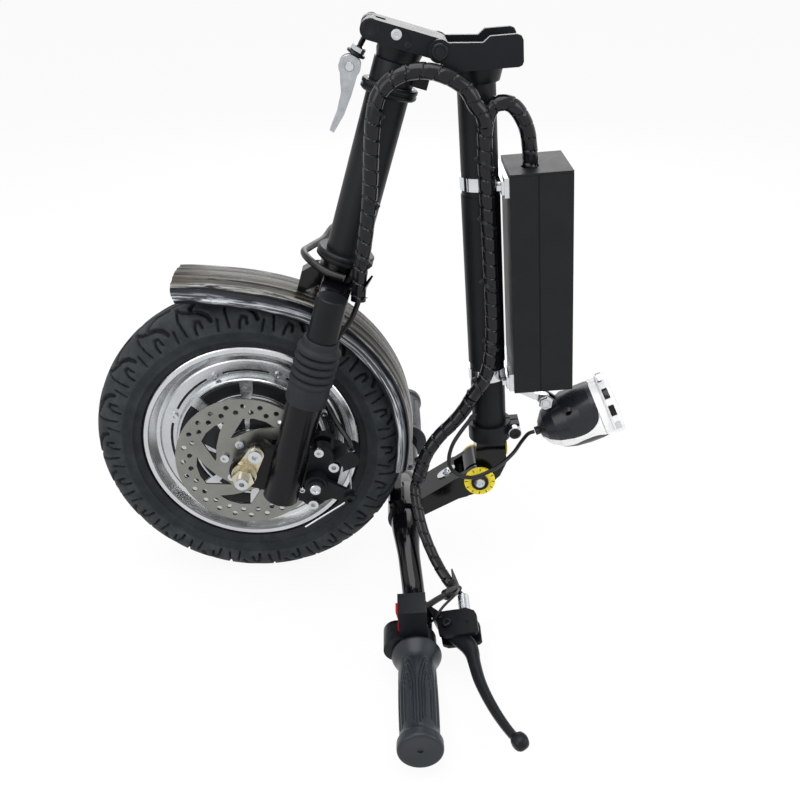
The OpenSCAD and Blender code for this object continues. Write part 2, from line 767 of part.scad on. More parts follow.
module magnet_ring() {
    color("#5c5f63") at_wheel() ring_y(motor_r - fit, motor_r - 7, -12.6, 12.6);
}

module hub_bearings() {
    color("#a5a8ac") at_wheel()
        for (side = [0, 1])
            mirror([0, side, 0]) ring_y(16, 7.5 + fit, 24, 33 - fit);
}

module valve_stem() {
    color("#2b2c2e") at_wheel() rotate([0, 90 - head_lean, 0]) translate([valve_r, 0, 0]) {
        rod_y(2.4, 12, 34);
        rod_y(3.4, 34, 41);
    }
}

module caliper_arm() {
    hub = [knob_x, -axle_drop + knob_z];
    color("#17181a") steering() difference() {
        union() {
            translate([hub[0], 0, hub[1]]) {
                rod_y(11, -86, -72 - gap);
                rod_y(8, -90, -86);
                rod_y(6 - fit, -86, -70 - gap);
            }
            slab(arm_out, arm_out + 5) link(hub, [pinch_x, pinch_z], 9, 6.5);
        }
        translate([pinch_x, 0, pinch_z]) rod_y(3 + fit, -90, -70);
        translate([hub[0], 0, hub[1]]) rod_y(4, -91, -88, $fn = 6);
    }
    color("#c3c6c9") steering() translate([pinch_x, arm_out - seat, pinch_z]) bolt_y(3, 5, 5.5, 4);
}

module brake_wire() {
    color("#b5b8bb") steering() cable(wire_route, 0.9, 3, 6);
}

module moving_pad() {
    z0 = -axle_drop;
    color("#7c6a55") steering() {
        block(caliper_x - 4, caliper_x + 11, -60 + seat, -rotor_out - 0.9, z0 - 4, z0 + 22);
        translate([knob_x, 0, z0 + knob_z]) rod_y(6, -70, -60 + seat);
    }
}

module stem_hinge_half() {
    front = latch_x - 9.5;
    color("#17181b") at_stem() difference() {
        union() {
            slab(-channel_out, channel_out)
                polygon([[front, plate_low], [front, plate_high - 4], [front + 1.2, plate_high - 1.2],
                         [front + 4, plate_high], [pin_x - 2, plate_high], [pin_x - 2, plate_low]]);
            for (side = [-1, 1])
                slab(min(side * channel_w / 2, side * channel_out),
                     max(side * channel_w / 2, side * channel_out)) {
                    translate([pin_x, 0]) circle(9.5);
                    polygon([[pin_x, -9.5], [pin_x - 8, -6], [-5, -4], [-11, -8.6], [front + 5, -8.6],
                             [front + 1.5, -7.1], [front, -3.6], [front, plate_low + 1], [pin_x, plate_low + 1]]);
                }
            translate([0, 0, plate_high - 1]) cylinder(r1 = stem_r + 8, r2 = stem_r + 3.5, h = 14);
        }
        rod_z(stem_r + fit, plate_high + 1, plate_high + 40);
        translate([pin_x, 0, 0]) rod_y(pin_d / 2 + fit, -40, 40);
        block(front - 1, latch_x + 6.5, -5.4, 5.4, -20, plate_high + 20);
        translate([latch_x, 0, 0]) rod_z(9.4, plate_high, plate_high + 20);
    }
}

module stem_tube() {
    color("#1b1d20") at_stem() {
        tube_z(stem_r, quill_r + 0.1, plate_high + 1 + seat, stem_len);
        tube_z(stem_r + 1, stem_r + fit, strap_s[0] + 12, strap_s[1] - 12);
    }
}

// Strap round the stem with an ear on each side, bolted to a controller bracket
module stem_strap(s) {
    difference() {
        union() {
            rod_z(stem_r + 1.6, s - 6, s + 6);
            block(-stem_r - 1.5, -stem_r + 1, -33, 33, s - 6, s + 6);
        }
        rod_z(stem_r + fit, s - 7, s + 7);
        for (side = [-1, 1])
            translate([0, side * 27, s]) rod_x(2.5 + fit, -40, 0);
    }
}

module stem_straps() {
    color("#c6c9cc") at_stem()
        for (s = strap_s)
            stem_strap(s);
}

module controller_box() {
    x0 = box_x - box_depth;
    half = box_width / 2;
    end = box_s + box_len;
    color("#1c1d1f") at_stem() {
        difference() {
            block(x0, box_x, -half, half, box_s + 2.2, end - 2.2);
            block(x0 + 3, box_x - 3, -half + 3, half - 3, box_s, end);
            for (side = [-1, 1])
                translate([x0 + box_depth * 0.55, side * half, box_s])
                    cube([1.2, 1.6, 3 * box_len], center = true);
            for (s = strap_s)
                for (side = [-1, 1])
                    translate([box_x, side * 27, s]) rod_x(2.5 + fit, -4, 4);
        }
        difference() {
            block(x0, box_x, -half, half, box_s, box_s + 2.2 - seat);
            translate([-44, -10, box_s]) rod_z(wrap_r + 1, -1, 4);
        }
        block(x0, box_x, -half, half, end - 2.2 + seat, end);
    }
}

module controller_board() {
    x0 = box_x - box_depth;
    half = box_width / 2;
    color("#1f5a34") at_stem() {
        block(x0 + 9, x0 + 10.6, -half + 3.2, half - 3.2, box_s + 16, box_s + box_len - 12);
        for (i = [0 : 3])
            block(x0 + 10.6, x0 + 26, -20 + i * 11, -12 + i * 11, box_s + 30, box_s + 70);
        block(x0 + 10.6, x0 + 20, -half + 8, half - 8, box_s + 90, box_s + 150);
    }
}

module controller_brackets() {
    arm_from = [box_x + 2.4, strap_s[1] + 16];
    arm_to = [tilt_at[0], tilt_at[2]];
    color("#c6c9cc") at_stem() {
        difference() {
            union() {
                block(box_x + seat, -stem_r - 1.6, -33, 33, strap_s[1] - 9, strap_s[1] + 9);
                block(box_x + seat, box_x + 3.6, -9, 9, strap_s[1], arm_from[1]);
                slab(-9, 9) link(arm_from, arm_to - 13 * unit(arm_to - arm_from), 2.2, 2.2);
                slab(-4, 4) link(arm_to - 13 * unit(arm_to - arm_from), arm_to, 2.2, 6);
            }
            for (side = [-1, 1])
                translate([0, side * 27, strap_s[1]]) rod_x(2.5 + fit, -60, 0);
            translate(tilt_at) rod_y(2.5 + fit, -10, 10);
            rod_z(stem_r + 1.7, 0, stem_len);
        }
        difference() {
            block(box_x + seat, -stem_r - 1.6, -33, 33, strap_s[0] - 9, strap_s[0] + 9);
            for (side = [-1, 1])
                translate([0, side * 27, strap_s[0]]) rod_x(2.5 + fit, -60, 0);
            rod_z(stem_r + 1.7, 0, stem_len);
        }
        for (s = strap_s)
            for (side = [-1, 1])
                translate([0, side * 27, s]) {
                    rod_x(2.5, box_x - 3, -stem_r + 1 + seat);
                    rod_x(4.6, -stem_r + 1 + seat, -stem_r + 5, $fn = 6);
                }
        translate(tilt_at) {
            rod_y(2.5, -9, 9);
            rod_y(4.4, -12, -8.2);
            rod_y(4.4, 8.2, 12, $fn = 6);
        }
    }
}

module stem_collar() {
    low = stem_len - 14;
    mid = stem_len - 5;
    color("#151619") at_stem() {
        difference() {
            union() {
                rod_z(stem_r + 4.5, low, stem_len + 4);
                block(-stem_r - 13, -stem_r + 2, -10, 10, low + 2, stem_len + 2);
            }
            rod_z(stem_r + fit, low - 1, stem_len + seat);
            rod_z(quill_r + 0.6, stem_len, stem_len + 10);
            block(-stem_r - 14, 0, -1.2, 1.2, low - 1, stem_len + 5);
            translate([-stem_r - 7.5, 0, mid]) rod_y(3 + fit, -11, 11);
        }
        translate([-stem_r - 7.5, -10 - seat, mid]) bolt_y(3, 19, 5.5, 7);
    }
}

module stem_harness() {
    color("#1c1d20") at_stem() cable(stem_route, wrap_r, 3, 10);
}

module lamp_cable() {
    color("#18191b") at_stem() cable(lamp_route, 2, 4, 8);
}

module lamp_body() {
    k = lamp_r / 30;
    color("#141518") at_lamp() difference() {
        union() {
            rotate([0, 90, 0]) rotate_extrude()
                polygon([[0, -22], [lamp_r - 2, -22], [lamp_r - 0.5, -10], [lamp_r - 0.5, 4],
                         [lamp_r - 1.8, 18],
                         [lamp_r - 5.5, 31], [lamp_r - 12, 41], [lamp_r - 21, 47.5], [0, 50]]);
            for (side = [-1, 1])
                slab(min(side * 4.4, side * 8), max(side * 4.4, side * 8))
                    link([24, -16], [tilt_x, tilt_z], 9, 6.5);
            rod_x(4.5, 45, gland_end);
        }
        rotate([0, 90, 0]) rotate_extrude()
            polygon([[0, -23], [lamp_r - 4.4, -23], [lamp_r - 5, 0], [12 * k, 18], [0, 20]]);
        translate([tilt_x, 0, tilt_z]) rod_y(7.5, -4.4, 4.4);
        translate([tilt_x, 0, tilt_z]) rod_y(2.5 + fit, -20, 20);
        for (side = [0, 1])
            mirror([0, side, 0]) rotate([45, 0, 0]) translate([14, 0, 0])
                rod_y(4, -lamp_r - 2, -lamp_r + 3.5);
    }
}

module lamp_bezel() {
    color("#e8e9ea") at_lamp() rotate([0, 90, 0]) rotate_extrude()
        polygon([[lamp_r - 4, -34], [lamp_r + 0.5, -33], [lamp_r + 1.5, -30], [lamp_r + 1.5, -24],
                 [lamp_r, -22 - seat], [lamp_r - 4, -22 - seat]]);
}

module lamp_lens() {
    color("#dfe6ea") at_lamp() {
        rotate([0, 90, 0]) rotate_extrude()
            polygon([[0, -35], [lamp_r - 10, -34], [lamp_r - 4 - fit, -31], [lamp_r - 4 - fit, -28],
                     [0, -30]]);
    }
}

module quill() {
    color("#101114") at_stem() {
        difference() {
            union() {
                rod_z(quill_r, stem_len - 90, goose_s - 12);
                slab(-barrel_half, barrel_half) {
                    translate([goose_x, goose_s]) circle(17);
                    polygon([[-quill_r - 1, stem_len + 5], [quill_r + 1, stem_len + 5],
                             [goose_x + 4, goose_s],
                             [goose_x - 8, goose_s + 14], [-quill_r + 6, goose_s + 1],
                                     [-quill_r - 1, goose_s - 14]]);
                }
            }
            rod_z(quill_r - 4, stem_len - 91, goose_s - 30);
            translate([goose_x, 0, goose_s]) rod_y(5 + fit, -30, 30);
        }
    }
}

module angle_pivot() {
    color("#e3c81f") at_stem() {
        translate([goose_x, 0, goose_s]) {
            for (side = [0, 1])
                mirror([0, side, 0]) ring_y(16, 8.5, ear_out + gap, ear_out + gap + 2.4);
            rod_y(5, -ear_out - gap - 2, ear_out + gap + 2);
            rod_y(8.4, -ear_out - gap - 5, -ear_out - gap - 2);
            rod_y(8.4, ear_out + gap + 2, ear_out + gap + 5);
        }
        translate([0, 0, stem_len + 19]) rod_x(9, -quill_r - 3, -quill_r - 1 - seat);
    }
}

module quill_harness() {
    color("#1c1d20") at_stem() cable(quill_route, wrap_r, 3, 10);
}

module gooseneck() {
    color("#0f1013") at_goose() difference() {
        union() {
            for (side = [-1, 1])
                slab(min(side * (barrel_half + gap), side * ear_out),
                     max(side * (barrel_half + gap), side * ear_out)) {
                    circle(16);
                    polygon([[0, -15.2], [34, -13.2], [34, 7], [0, 15.2]]);
                }
            slab(-ear_out, ear_out)
                polygon([[20, -14.8], [30, -14.1], [goose_len - 10, -12], [goose_len, -clamp_r],
                         [goose_len, clamp_r], [goose_len - 10, 6], [30, 8.2], [20, 10.9]]);
            slab(-clamp_half, clamp_half) {
                translate([goose_len, 0]) circle(clamp_r);
                translate([goose_len - 9, -clamp_ear]) square([8, 2 * clamp_ear]);
            }
        }
        block(goose_len - 0.6, goose_len + 60, -40, 40, -60, 60);
        translate([goose_len, 0, 0]) rod_y(bar_clamp_d / 2 + fit, -40, 40);
        rod_y(5 + fit, -40, 40);
        rod_y(17 + gap, -barrel_half - gap, barrel_half + gap);
        for (y = [-13, 13])
            for (z = [-1, 1])
                translate([0, y, z * clamp_bolt_z]) rod_x(2.2 + fit, goose_len - 12, goose_len + 1);
    }
}

module bar_clamp_cap() {
    color("#0f1013") at_goose() {
        difference() {
            slab(-clamp_half, clamp_half) {
                translate([goose_len, 0]) circle(clamp_r);
                translate([goose_len + 1, -clamp_ear]) square([4, 2 * clamp_ear]);
            }
            block(goose_len - 60, goose_len + 0.6, -40, 40, -60, 60);
            translate([goose_len, 0, 0]) rod_y(bar_clamp_d / 2 + fit, -40, 40);
            for (y = [-13, 13])
                for (z = [-1, 1])
                    translate([0, y, z * clamp_bolt_z]) {
                        rod_x(2.2 + fit, goose_len - 1, goose_len + 20);
                        rod_x(3.9, goose_len + 5, goose_len + 20);
                    }
        }
        for (y = [-13, 13])
            for (z = [-1, 1])
                translate([0, y, z * clamp_bolt_z]) {
                    rod_x(2.2, goose_len - 8, goose_len + 5 + seat);
                    rod_x(3.5, goose_len + 5 + seat, goose_len + 7.4);
                }
    }
}

// Riser bar: straight in the clamp, bent up on each side, straight through the grips
module handlebar() {
    bend_in = 45;
    taper_in = clamp_half + 5;
    steps = 9;
    ys = concat([bar_end], [for (i = [0 : steps]) bend_end + 3 - i * (bend_end + 3 - bend_in) / steps],
                [clamp_half + 3, 0]);
    half = [for (y = ys) let (f = ease((y - bend_in) / (bend_end - bend_in))) [-4 * f, y, bar_rise * f]];
    half_r = [for (y = ys) let (f = ease((y - taper_in) / (bend_end - bend_in) * 1.5))
        bar_clamp_d / 2 + (bar_r - bar_clamp_d / 2) * f];
    n = len(ys);
    path = concat(half, [for (i = [n - 2 : -1 : 0]) [half[i][0], -half[i][1], half[i][2]]]);
    radii = concat(half_r, [for (i = [n - 2 : -1 : 0]) half_r[i]]);
    color("#0e0f11") at_stem() translate(bar_at) strand(path, radii, 24);
}

module brake_perch() {
    pivot = [lever_x, lever_y];
    shoulder = -perch_in - 21;
    color("#131417") at_lever() {
        difference() {
            union() {
                ring_y(bar_r + 5, bar_r + fit, -perch_in - 17, -perch_in);
                translate([0, 0, -8]) linear_extrude(16) {
                    translate(pivot) circle(8.5);
                    polygon([[-bar_r - 3, -perch_in - 3], [lever_x + 6, shoulder + 2], [adjuster_x + 8, shoulder],
                             [adjuster_x - 5, shoulder - 3], [adjuster_x - 10, shoulder - 7],
                             [adjuster_x - 12, shoulder - 13], [adjuster_x - 12, lever_y - 17],
                             [adjuster_x - 9, lever_y - 19.5], [lever_x + 3, lever_y - 15],
                             [lever_x + 8, lever_y - 11], [lever_x + 9, lever_y + 4],
                             [-bar_r - 6, -perch_in - 16.5]]);
                }
            }
            rod_y(bar_r + fit, -perch_in - 30, -perch_in + 10);
            translate([lever_x - 40, lever_y - 30, -4.4]) cube([50, 38.5, 8.8]);
            translate(concat(pivot, -20)) cylinder(r = 2.5 + fit, h = 40);
            translate([adjuster_x, 0, 0]) rod_y(3.5 + fit, lever_y, shoulder + 1);
        }
        translate(concat(pivot, -8 - seat)) cylinder(r = 2.5, h = 16 + 2 * seat);
        translate(concat(pivot, -10)) cylinder(r = 4.5, h = 2 - seat);
        translate(concat(pivot, 8 + seat)) cylinder(r = 4.5, h = 2 - seat);
        translate([adjuster_x, 0, 0]) {
            rod_y(3.5, shoulder - 9, shoulder + seat);
            rod_y(5, shoulder + seat, shoulder + 24);
        }
    }
}

module throttle_housing() {
    y0 = -grip_in + gap;
    y1 = -housing_in;
    color("#16171a") at_grip() difference() {
        union() {
            rod_y(19, y0, y0 + 20);
            rod_y(16, y0, y1);
            block(-12, 14, y0 + 4, y0 + 32, -46, 0);
            translate([17, 0, -6]) rod_y(13, y0 + 1, y0 + 27);
        }
        rod_y(bar_r + fit, y0 - 1, y1 + 1);
        block(8.6, 40, y0 + 12, y0 + 26, -43, -17.5);
        translate(rocker_at) rod_y(1.5 + fit, y0 + 10, y0 + 28);
    }
}

module switch_rocker() {
    y0 = -grip_in + gap;
    color("#c62127") at_grip() translate(rocker_at) rotate([0, -6, 0]) {
        slab(y0 + 12.5, y0 + 25.5) polygon([[-1.4, -10.6], [3, -11.2], [2.2, 0], [5, 11], [-1.4, 10.6]]);
        rod_y(1.5, y0 + 11, y0 + 27);
    }
}

// Grip section as radius and distance along the bar from its inner end
module grip_section(bore) {
    g = grip_r;
    polygon([[bore, 0], [g + 6, 0], [g + 6, 3], [g + 4.5, 6], [g + 1, 13], [g, 18], [g + 0.6, 50], [g, 96],
             [g + 0.8, 101], [g + 2.6, 103], [g + 2.6, 110], [g + 1, 112], [0, 112], [0, 109.5],
                     [bore, 109.5]]);
}

module plain_grip() {
    color("#202225") at_grip() translate([0, grip_in, 0]) turned() grip_section(bar_r + fit);
}

module throttle_grip() {
    color("#202225") at_grip() mirror([0, 1, 0]) translate(
                                                           [0, grip_in, 0]) turned() grip_section(bar_r + 0.1);
}

module bar_harness() {
    color("#1c1d20") at_stem() cable(bar_route, wrap_r - 1.5, 3, 10);
}

module brake_lever() {
    pivot = [lever_x, lever_y];
    line = [for (q = [[0, 0], [-17, -26], [-20.2, -46], [-22.8, -68], [-32, -104.5],
                      [-44, -135.5]]) pivot + q];
    half = [7.5, 7.6, 5.6, 5, 4.2, 3.6];
    tip = pivot + [-50.4, -146];
    color("#131417") at_lever() difference() {
        union() {
            translate([0, 0, -4]) linear_extrude(8) {
                for (i = [0 : len(line) - 2])
                    link(line[i], line[i + 1], half[i], half[i + 1]);
                link(line[len(line) - 1], tip, half[len(line) - 1], 3.6);
            }
            translate(concat(tip, 0)) sphere(6.8);
        }
        translate(concat(pivot, -10)) cylinder(r = 2.5 + fit, h = 20);
    }
}

module latch_rod() {
    color("#b7babd") at_latch() difference() {
        union() {
            rod_y(7, -4.8, 4.8);
            rod_z(3.2, 0, latch_reach);
            translate([0, 0, latch_reach]) rod_y(4, -8.6, 8.6);
            rod_z(7, 17, 23);
            rod_z(8, 23, 26);
        }
        rod_y(3.5 + fit, -10, 10);
    }
}

// Two cam cheeks round the cross pin, with a curved handle
module cam_lever() {
    color("#a9acb1") at_latch() translate([0, 0, latch_reach]) rotate([0, lever_turn, 0]) {
        for (y = [-8.5, 3.8])
            slab(y, y + 4.7) difference() {
                union() {
                    circle(9.5);
                    polygon([[-8, 3], [-7, 15], [5, 15], [8, 3]]);
                }
                circle(4 + fit);
            }
        slab(-8.5, 8.5)
            polygon([[-7.2, 12.5], [-6.4, 22], [-3.4, 40], [2.4, 57], [6.4, 55.6], [3.4, 40], [3, 22],
                     [5.6, 12.5]]);
    }
}

head_tube();
headset_cups();
headset_bearings();
steerer_tube();
fork_crown();
stanchions();
fork_springs();
steerer_clamp();
hinge_base();
hinge_pins();
fender();
fork_harness();
fork_sliders();
fork_boots();
axle();
axle_hardware();
fork_bolts();
stator();
brake_caliper();
brake_cable();
motor_cable();
tyre();
rim();
motor_covers();
wheel_bolts();
brake_rotor();
magnet_ring();
hub_bearings();
valve_stem();
caliper_arm();
brake_wire();
moving_pad();
stem_hinge_half();
stem_tube();
stem_straps();
controller_box();
controller_board();
controller_brackets();
stem_collar();
stem_harness();
lamp_cable();
lamp_body();
lamp_bezel();
lamp_lens();
quill();
angle_pivot();
quill_harness();
gooseneck();
bar_clamp_cap();
handlebar();
brake_perch();
throttle_housing();
plain_grip();
bar_harness();
throttle_grip();
brake_lever();
switch_rocker();
latch_rod();
cam_lever();
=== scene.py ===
import math

import bpy
import numpy as np
from mathutils import Matrix, Vector


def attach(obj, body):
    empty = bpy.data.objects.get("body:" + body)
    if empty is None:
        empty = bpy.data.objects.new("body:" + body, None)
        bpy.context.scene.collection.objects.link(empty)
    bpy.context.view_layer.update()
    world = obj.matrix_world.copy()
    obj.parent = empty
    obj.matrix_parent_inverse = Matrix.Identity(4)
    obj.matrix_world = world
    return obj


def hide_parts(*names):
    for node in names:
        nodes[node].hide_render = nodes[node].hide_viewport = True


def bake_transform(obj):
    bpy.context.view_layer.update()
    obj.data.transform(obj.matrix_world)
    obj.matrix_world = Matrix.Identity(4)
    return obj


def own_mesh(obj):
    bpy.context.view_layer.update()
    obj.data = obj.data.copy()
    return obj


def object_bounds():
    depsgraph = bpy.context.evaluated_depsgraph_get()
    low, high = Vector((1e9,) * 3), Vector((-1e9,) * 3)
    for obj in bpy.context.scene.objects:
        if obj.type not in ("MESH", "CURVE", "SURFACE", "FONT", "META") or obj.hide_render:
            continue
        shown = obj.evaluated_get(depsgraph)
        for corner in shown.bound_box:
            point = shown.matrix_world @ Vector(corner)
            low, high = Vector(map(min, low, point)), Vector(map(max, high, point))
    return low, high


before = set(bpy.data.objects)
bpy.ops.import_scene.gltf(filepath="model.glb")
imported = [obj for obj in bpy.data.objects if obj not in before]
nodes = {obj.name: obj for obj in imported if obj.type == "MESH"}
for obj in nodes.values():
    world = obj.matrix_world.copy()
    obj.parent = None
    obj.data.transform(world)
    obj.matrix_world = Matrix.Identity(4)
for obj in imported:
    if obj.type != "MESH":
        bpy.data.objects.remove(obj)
cad_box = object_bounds()
scene = bpy.context.scene
scene.view_settings.view_transform = "Standard"
MM = 0.001


# Places: the steering axis leans back, and the stem hangs folded from the hinge pin

def turn(degrees, axis="Y"):
    return Matrix.Rotation(math.radians(degrees), 4, axis)


def move(x, y, z):
    return Matrix.Translation((x * MM, y * MM, z * MM))


STEERING = turn(16)
WHEEL = STEERING @ move(-44, 0, -291)
FOLD_PIN = STEERING @ move(31, 0, 121.6)
LATCH_PIN = STEERING @ move(-28.5, 0, 123.6)
LATCH = LATCH_PIN @ turn(193.7)
STEM = FOLD_PIN @ turn(160) @ move(-31, 0, 0)
ANGLE_PIVOT = STEM @ move(14, 0, 425)
GOOSENECK = ANGLE_PIVOT @ turn(-28)
BAR = STEM @ move(93.465, 0, 467.252)
GRIP = STEM @ move(89.465, 0, 500.252)
LEVER = GRIP @ turn(-12)
LAMP = STEM @ move(-97, 0, 366) @ turn(-20)
UPRIGHT = turn(90, "X")  # stands a piece that was spun about y up along z

# The wire bundle in mm: its radius, and where it runs beside the head tube and beside the stem
BUNDLE = 7
HEAD_Y = -38
RUN_Y = -26


# Camera, light and floor

def straight_rays(tree):
    """One for a ray from the camera, off a mirror or through glass, and zero for light that scatters."""
    path = add(tree, "LightPath")
    direct = add(tree, "Math", {0: path.outputs["Is Camera Ray"], 1: path.outputs["Is Glossy Ray"]},
                 operation="MAXIMUM")
    shown = add(tree, "Math", {0: direct.outputs[0], 1: path.outputs["Is Transmission Ray"]}, operation="MAXIMUM")
    return shown.outputs[0]


def studio():
    # The camera that was fitted to the photo's wheel: azimuth, elevation and roll
    azimuth, elevation, roll = (math.radians(a) for a in (-0.48, 28.22, -0.52))
    back = Vector((math.sin(azimuth) * math.cos(elevation), -math.cos(azimuth) * math.cos(elevation),
                   math.sin(elevation)))
    right = Vector((math.cos(azimuth), math.sin(azimuth), 0))
    up = back.cross(right)
    across = math.cos(roll) * right + math.sin(roll) * up
    upward = math.cos(roll) * up - math.sin(roll) * right
    camera = bpy.data.objects.new("camera", bpy.data.cameras.new("camera"))
    camera.data.lens = 42.75
    camera.data.clip_start = 0.05
    camera.matrix_world = Matrix((across, upward, back)).transposed().to_4x4()
    camera.location = (0.0212, -0.8501, 0.2254)
    scene.collection.objects.link(camera)
    scene.camera = camera

    for name, size, power, spot, aim in (
            ("top softbox", 1.6, 26, (-0.2, -0.3, 1.5), (0, 0, -0.1)),
            ("front softbox", 1.4, 14, (-1.3, -1.5, 0.6), (-0.05, 0, -0.15)),
            ("right softbox", 1.2, 12, (1.6, -0.9, 0.5), (0.1, 0, -0.2)),
            ("rear softbox", 1.4, 12, (0.2, 1.7, 0.8), (0, 0, -0.1))):
        lamp = bpy.data.lights.new(name, "AREA")
        lamp.size = size
        lamp.energy = power
        lit = bpy.data.objects.new(name, lamp)
        lit.location = spot
        lit.rotation_euler = (Vector(aim) - Vector(spot)).to_track_quat("-Z", "Y").to_euler()
        scene.collection.objects.link(lit)

    world = bpy.data.worlds.new("white studio")
    scene.world = world
    world.use_nodes = True
    tree = world.node_tree
    tree.nodes.clear()
    light = add(tree, "Background", {"Color": linear("#eef1f4"), "Strength": 0.55})
    white = add(tree, "Background", {"Color": linear("#ffffff")})
    both = add(tree, "MixShader", {0: straight_rays(tree), 1: light.outputs[0], 2: white.outputs[0]})
    add(tree, "OutputWorld", {"Surface": both.outputs[0]})

    pick()
    bpy.ops.mesh.primitive_plane_add(size=14, location=(0, 0, cad_box[0].z - 0.5 * MM))
    floor = bpy.context.object
    floor.name = "floor"
    paper = bpy.data.materials.new("white paper sweep")
    paper.use_nodes = True
    tree = paper.node_tree
    tree.nodes.clear()
    share = add(tree, "Math", {0: straight_rays(tree), 1: 0.92}, operation="MULTIPLY")
    matt = add(tree, "BsdfDiffuse", {"Color": linear("#f4f4f2")})
    white = add(tree, "Emission", {"Color": linear("#ffffff")})
    both = add(tree, "MixShader", {0: share.outputs[0], 1: matt.outputs[0], 2: white.outputs[0]})
    add(tree, "OutputMaterial", {"Surface": both.outputs[0]})
    floor.data.materials.append(paper)


# Materials

def linear(colour):
    parts = [int(colour[i:i + 2], 16) / 255 for i in (1, 3, 5)]
    return [p / 12.92 if p <= 0.04045 else ((p + 0.055) / 1.055) ** 2.4 for p in parts] + [1.0]


def add(tree, kind, inputs=None, **settings):
    made = tree.nodes.new("ShaderNode" + kind)
    for name, value in settings.items():
        setattr(made, name, value)
    for socket, value in (inputs or {}).items():
        if isinstance(value, bpy.types.NodeSocket):
            tree.links.new(value, made.inputs[socket])
        else:
            made.inputs[socket].default_value = value
    return made


def surface(name, **constants):
    """A new material and its node tree, with the values of its shader that are the same all over."""
    material = bpy.data.materials.new(name)
    material.use_nodes = True
    for socket, value in constants.items():
        material.node_tree.nodes["Principled BSDF"].inputs[socket.replace("_", " ")].default_value = value
    return material, material.node_tree


def wired(material, **sockets):
    """The material, with these sockets linked to its shader."""
    tree = material.node_tree
    for socket, source in sockets.items():
        tree.links.new(source, tree.nodes["Principled BSDF"].inputs[socket.replace("_", " ")])
    return material


def layered(material, patch, grain, tones, rough, strength, depth_mm):
    """Two close tones in the patches, relief from the grain, and roughness that follows both."""
    tree = material.node_tree
    tone = add(tree, "Mix", {0: patch, 6: linear(tones[0]), 7: linear(tones[1])}, data_type="RGBA")
    mixed = add(tree, "Math", {0: patch, 1: grain}, operation="MULTIPLY")
    spread = add(tree, "MapRange", {0: mixed.outputs[0], 1: 0.12, 2: 0.4, 3: rough[0], 4: rough[1]})
    relief = add(tree, "Bump", {"Height": grain, "Strength": strength, "Distance": depth_mm * MM})
    return wired(material, Base_Color=tone.outputs[2], Roughness=spread.outputs[0], Normal=relief.outputs[0])


def grained(name, dark, light, rough, grain_mm, depth_mm, patch_mm=40, **constants):
    """A finish in soft patches, with a fine grain."""
    material, tree = surface(name, **constants)
    where = add(tree, "TexCoord").outputs["Object"]
    patch = add(tree, "TexNoise", {"Vector": where, "Scale": 1000 / patch_mm, "Detail": 4.0, "Roughness": 0.6})
    grain = add(tree, "TexNoise", {"Vector": where, "Scale": 1000 / grain_mm, "Detail": 3.0, "Roughness": 0.55})
    return layered(material, patch.outputs["Fac"], grain.outputs["Fac"], (dark, light), rough, 0.6, depth_mm)


def about_axle(tree, where, axle):
    """A place as seen from an axle along y: its three parts, and its distance from the axle."""
    rest = add(tree, "VectorMath", {0: where, 1: axle.translation}, operation="SUBTRACT")
    part = add(tree, "SeparateXYZ", {0: rest.outputs[0]})
    flat = add(tree, "CombineXYZ", {0: part.outputs[0], 2: part.outputs[2]})
    radius = add(tree, "VectorMath", {0: flat.outputs[0]}, operation="LENGTH")
    return part.outputs, radius.outputs["Value"]


def machined(name, dark, light, rough, ring_mm):
    """A turned metal face: fine rings about the wheel's axis, with faint smears."""
    material, tree = surface(name, Metallic=1.0)
    where = add(tree, "TexCoord").outputs["Object"]
    part, radius = about_axle(tree, where, WHEEL)
    steps = add(tree, "CombineXYZ", {0: radius, 1: part[1]})
    rings = add(tree, "TexNoise", {"Vector": steps.outputs[0], "Scale": 1000 / ring_mm, "Detail": 2.0})
    smear = add(tree, "TexNoise", {"Vector": where, "Scale": 1000 / 30, "Detail": 5.0, "Roughness": 0.65})
    return layered(material, smear.outputs["Fac"], rings.outputs["Fac"], (dark, light), rough, 0.35, 0.05)


def rubber_tread():
    """Vulcanised tyre rubber: matt black with grey mould dust in patches and a fine moulded grain; painted shade
    darkens the grooves, and the walls off the tread are a little darker.
    """
    material, tree = surface("vulcanised tyre rubber", IOR=1.5, Specular_IOR_Level=0.16)
    where = add(tree, "TexCoord").outputs["Object"]
    dust = add(tree, "TexNoise", {"Vector": where, "Scale": 1000 / 26, "Detail": 6.0, "Roughness": 0.7})
    grain = add(tree, "TexNoise", {"Vector": where, "Scale": 1000 / 1.6, "Detail": 2.0})
    worn = add(tree, "MapRange", {0: dust.outputs["Fac"], 1: 0.42, 2: 0.75})
    tone = add(tree, "Mix", {0: worn.outputs[0], 6: linear("#262a2d"), 7: linear("#3c4044")}, data_type="RGBA")
    # Painted shade: the groove attribute darkens the rubber toward near-black in the grooves, by their depth
    sunk = add(tree, "Attribute", attribute_name="groove").outputs["Fac"]
    deep = add(tree, "Mix", {0: sunk, 6: tone.outputs[2], 7: linear("#0d0f11")}, data_type="RGBA")
    spread = add(tree, "MapRange", {0: grain.outputs["Fac"], 3: 0.5, 4: 0.72})
    relief = add(tree, "Bump", {"Height": grain.outputs["Fac"], "Strength": 0.4, "Distance": 0.12 * MM})
    return wired(material, Base_Color=deep.outputs[2], Roughness=spread.outputs[0], Normal=relief.outputs[0])


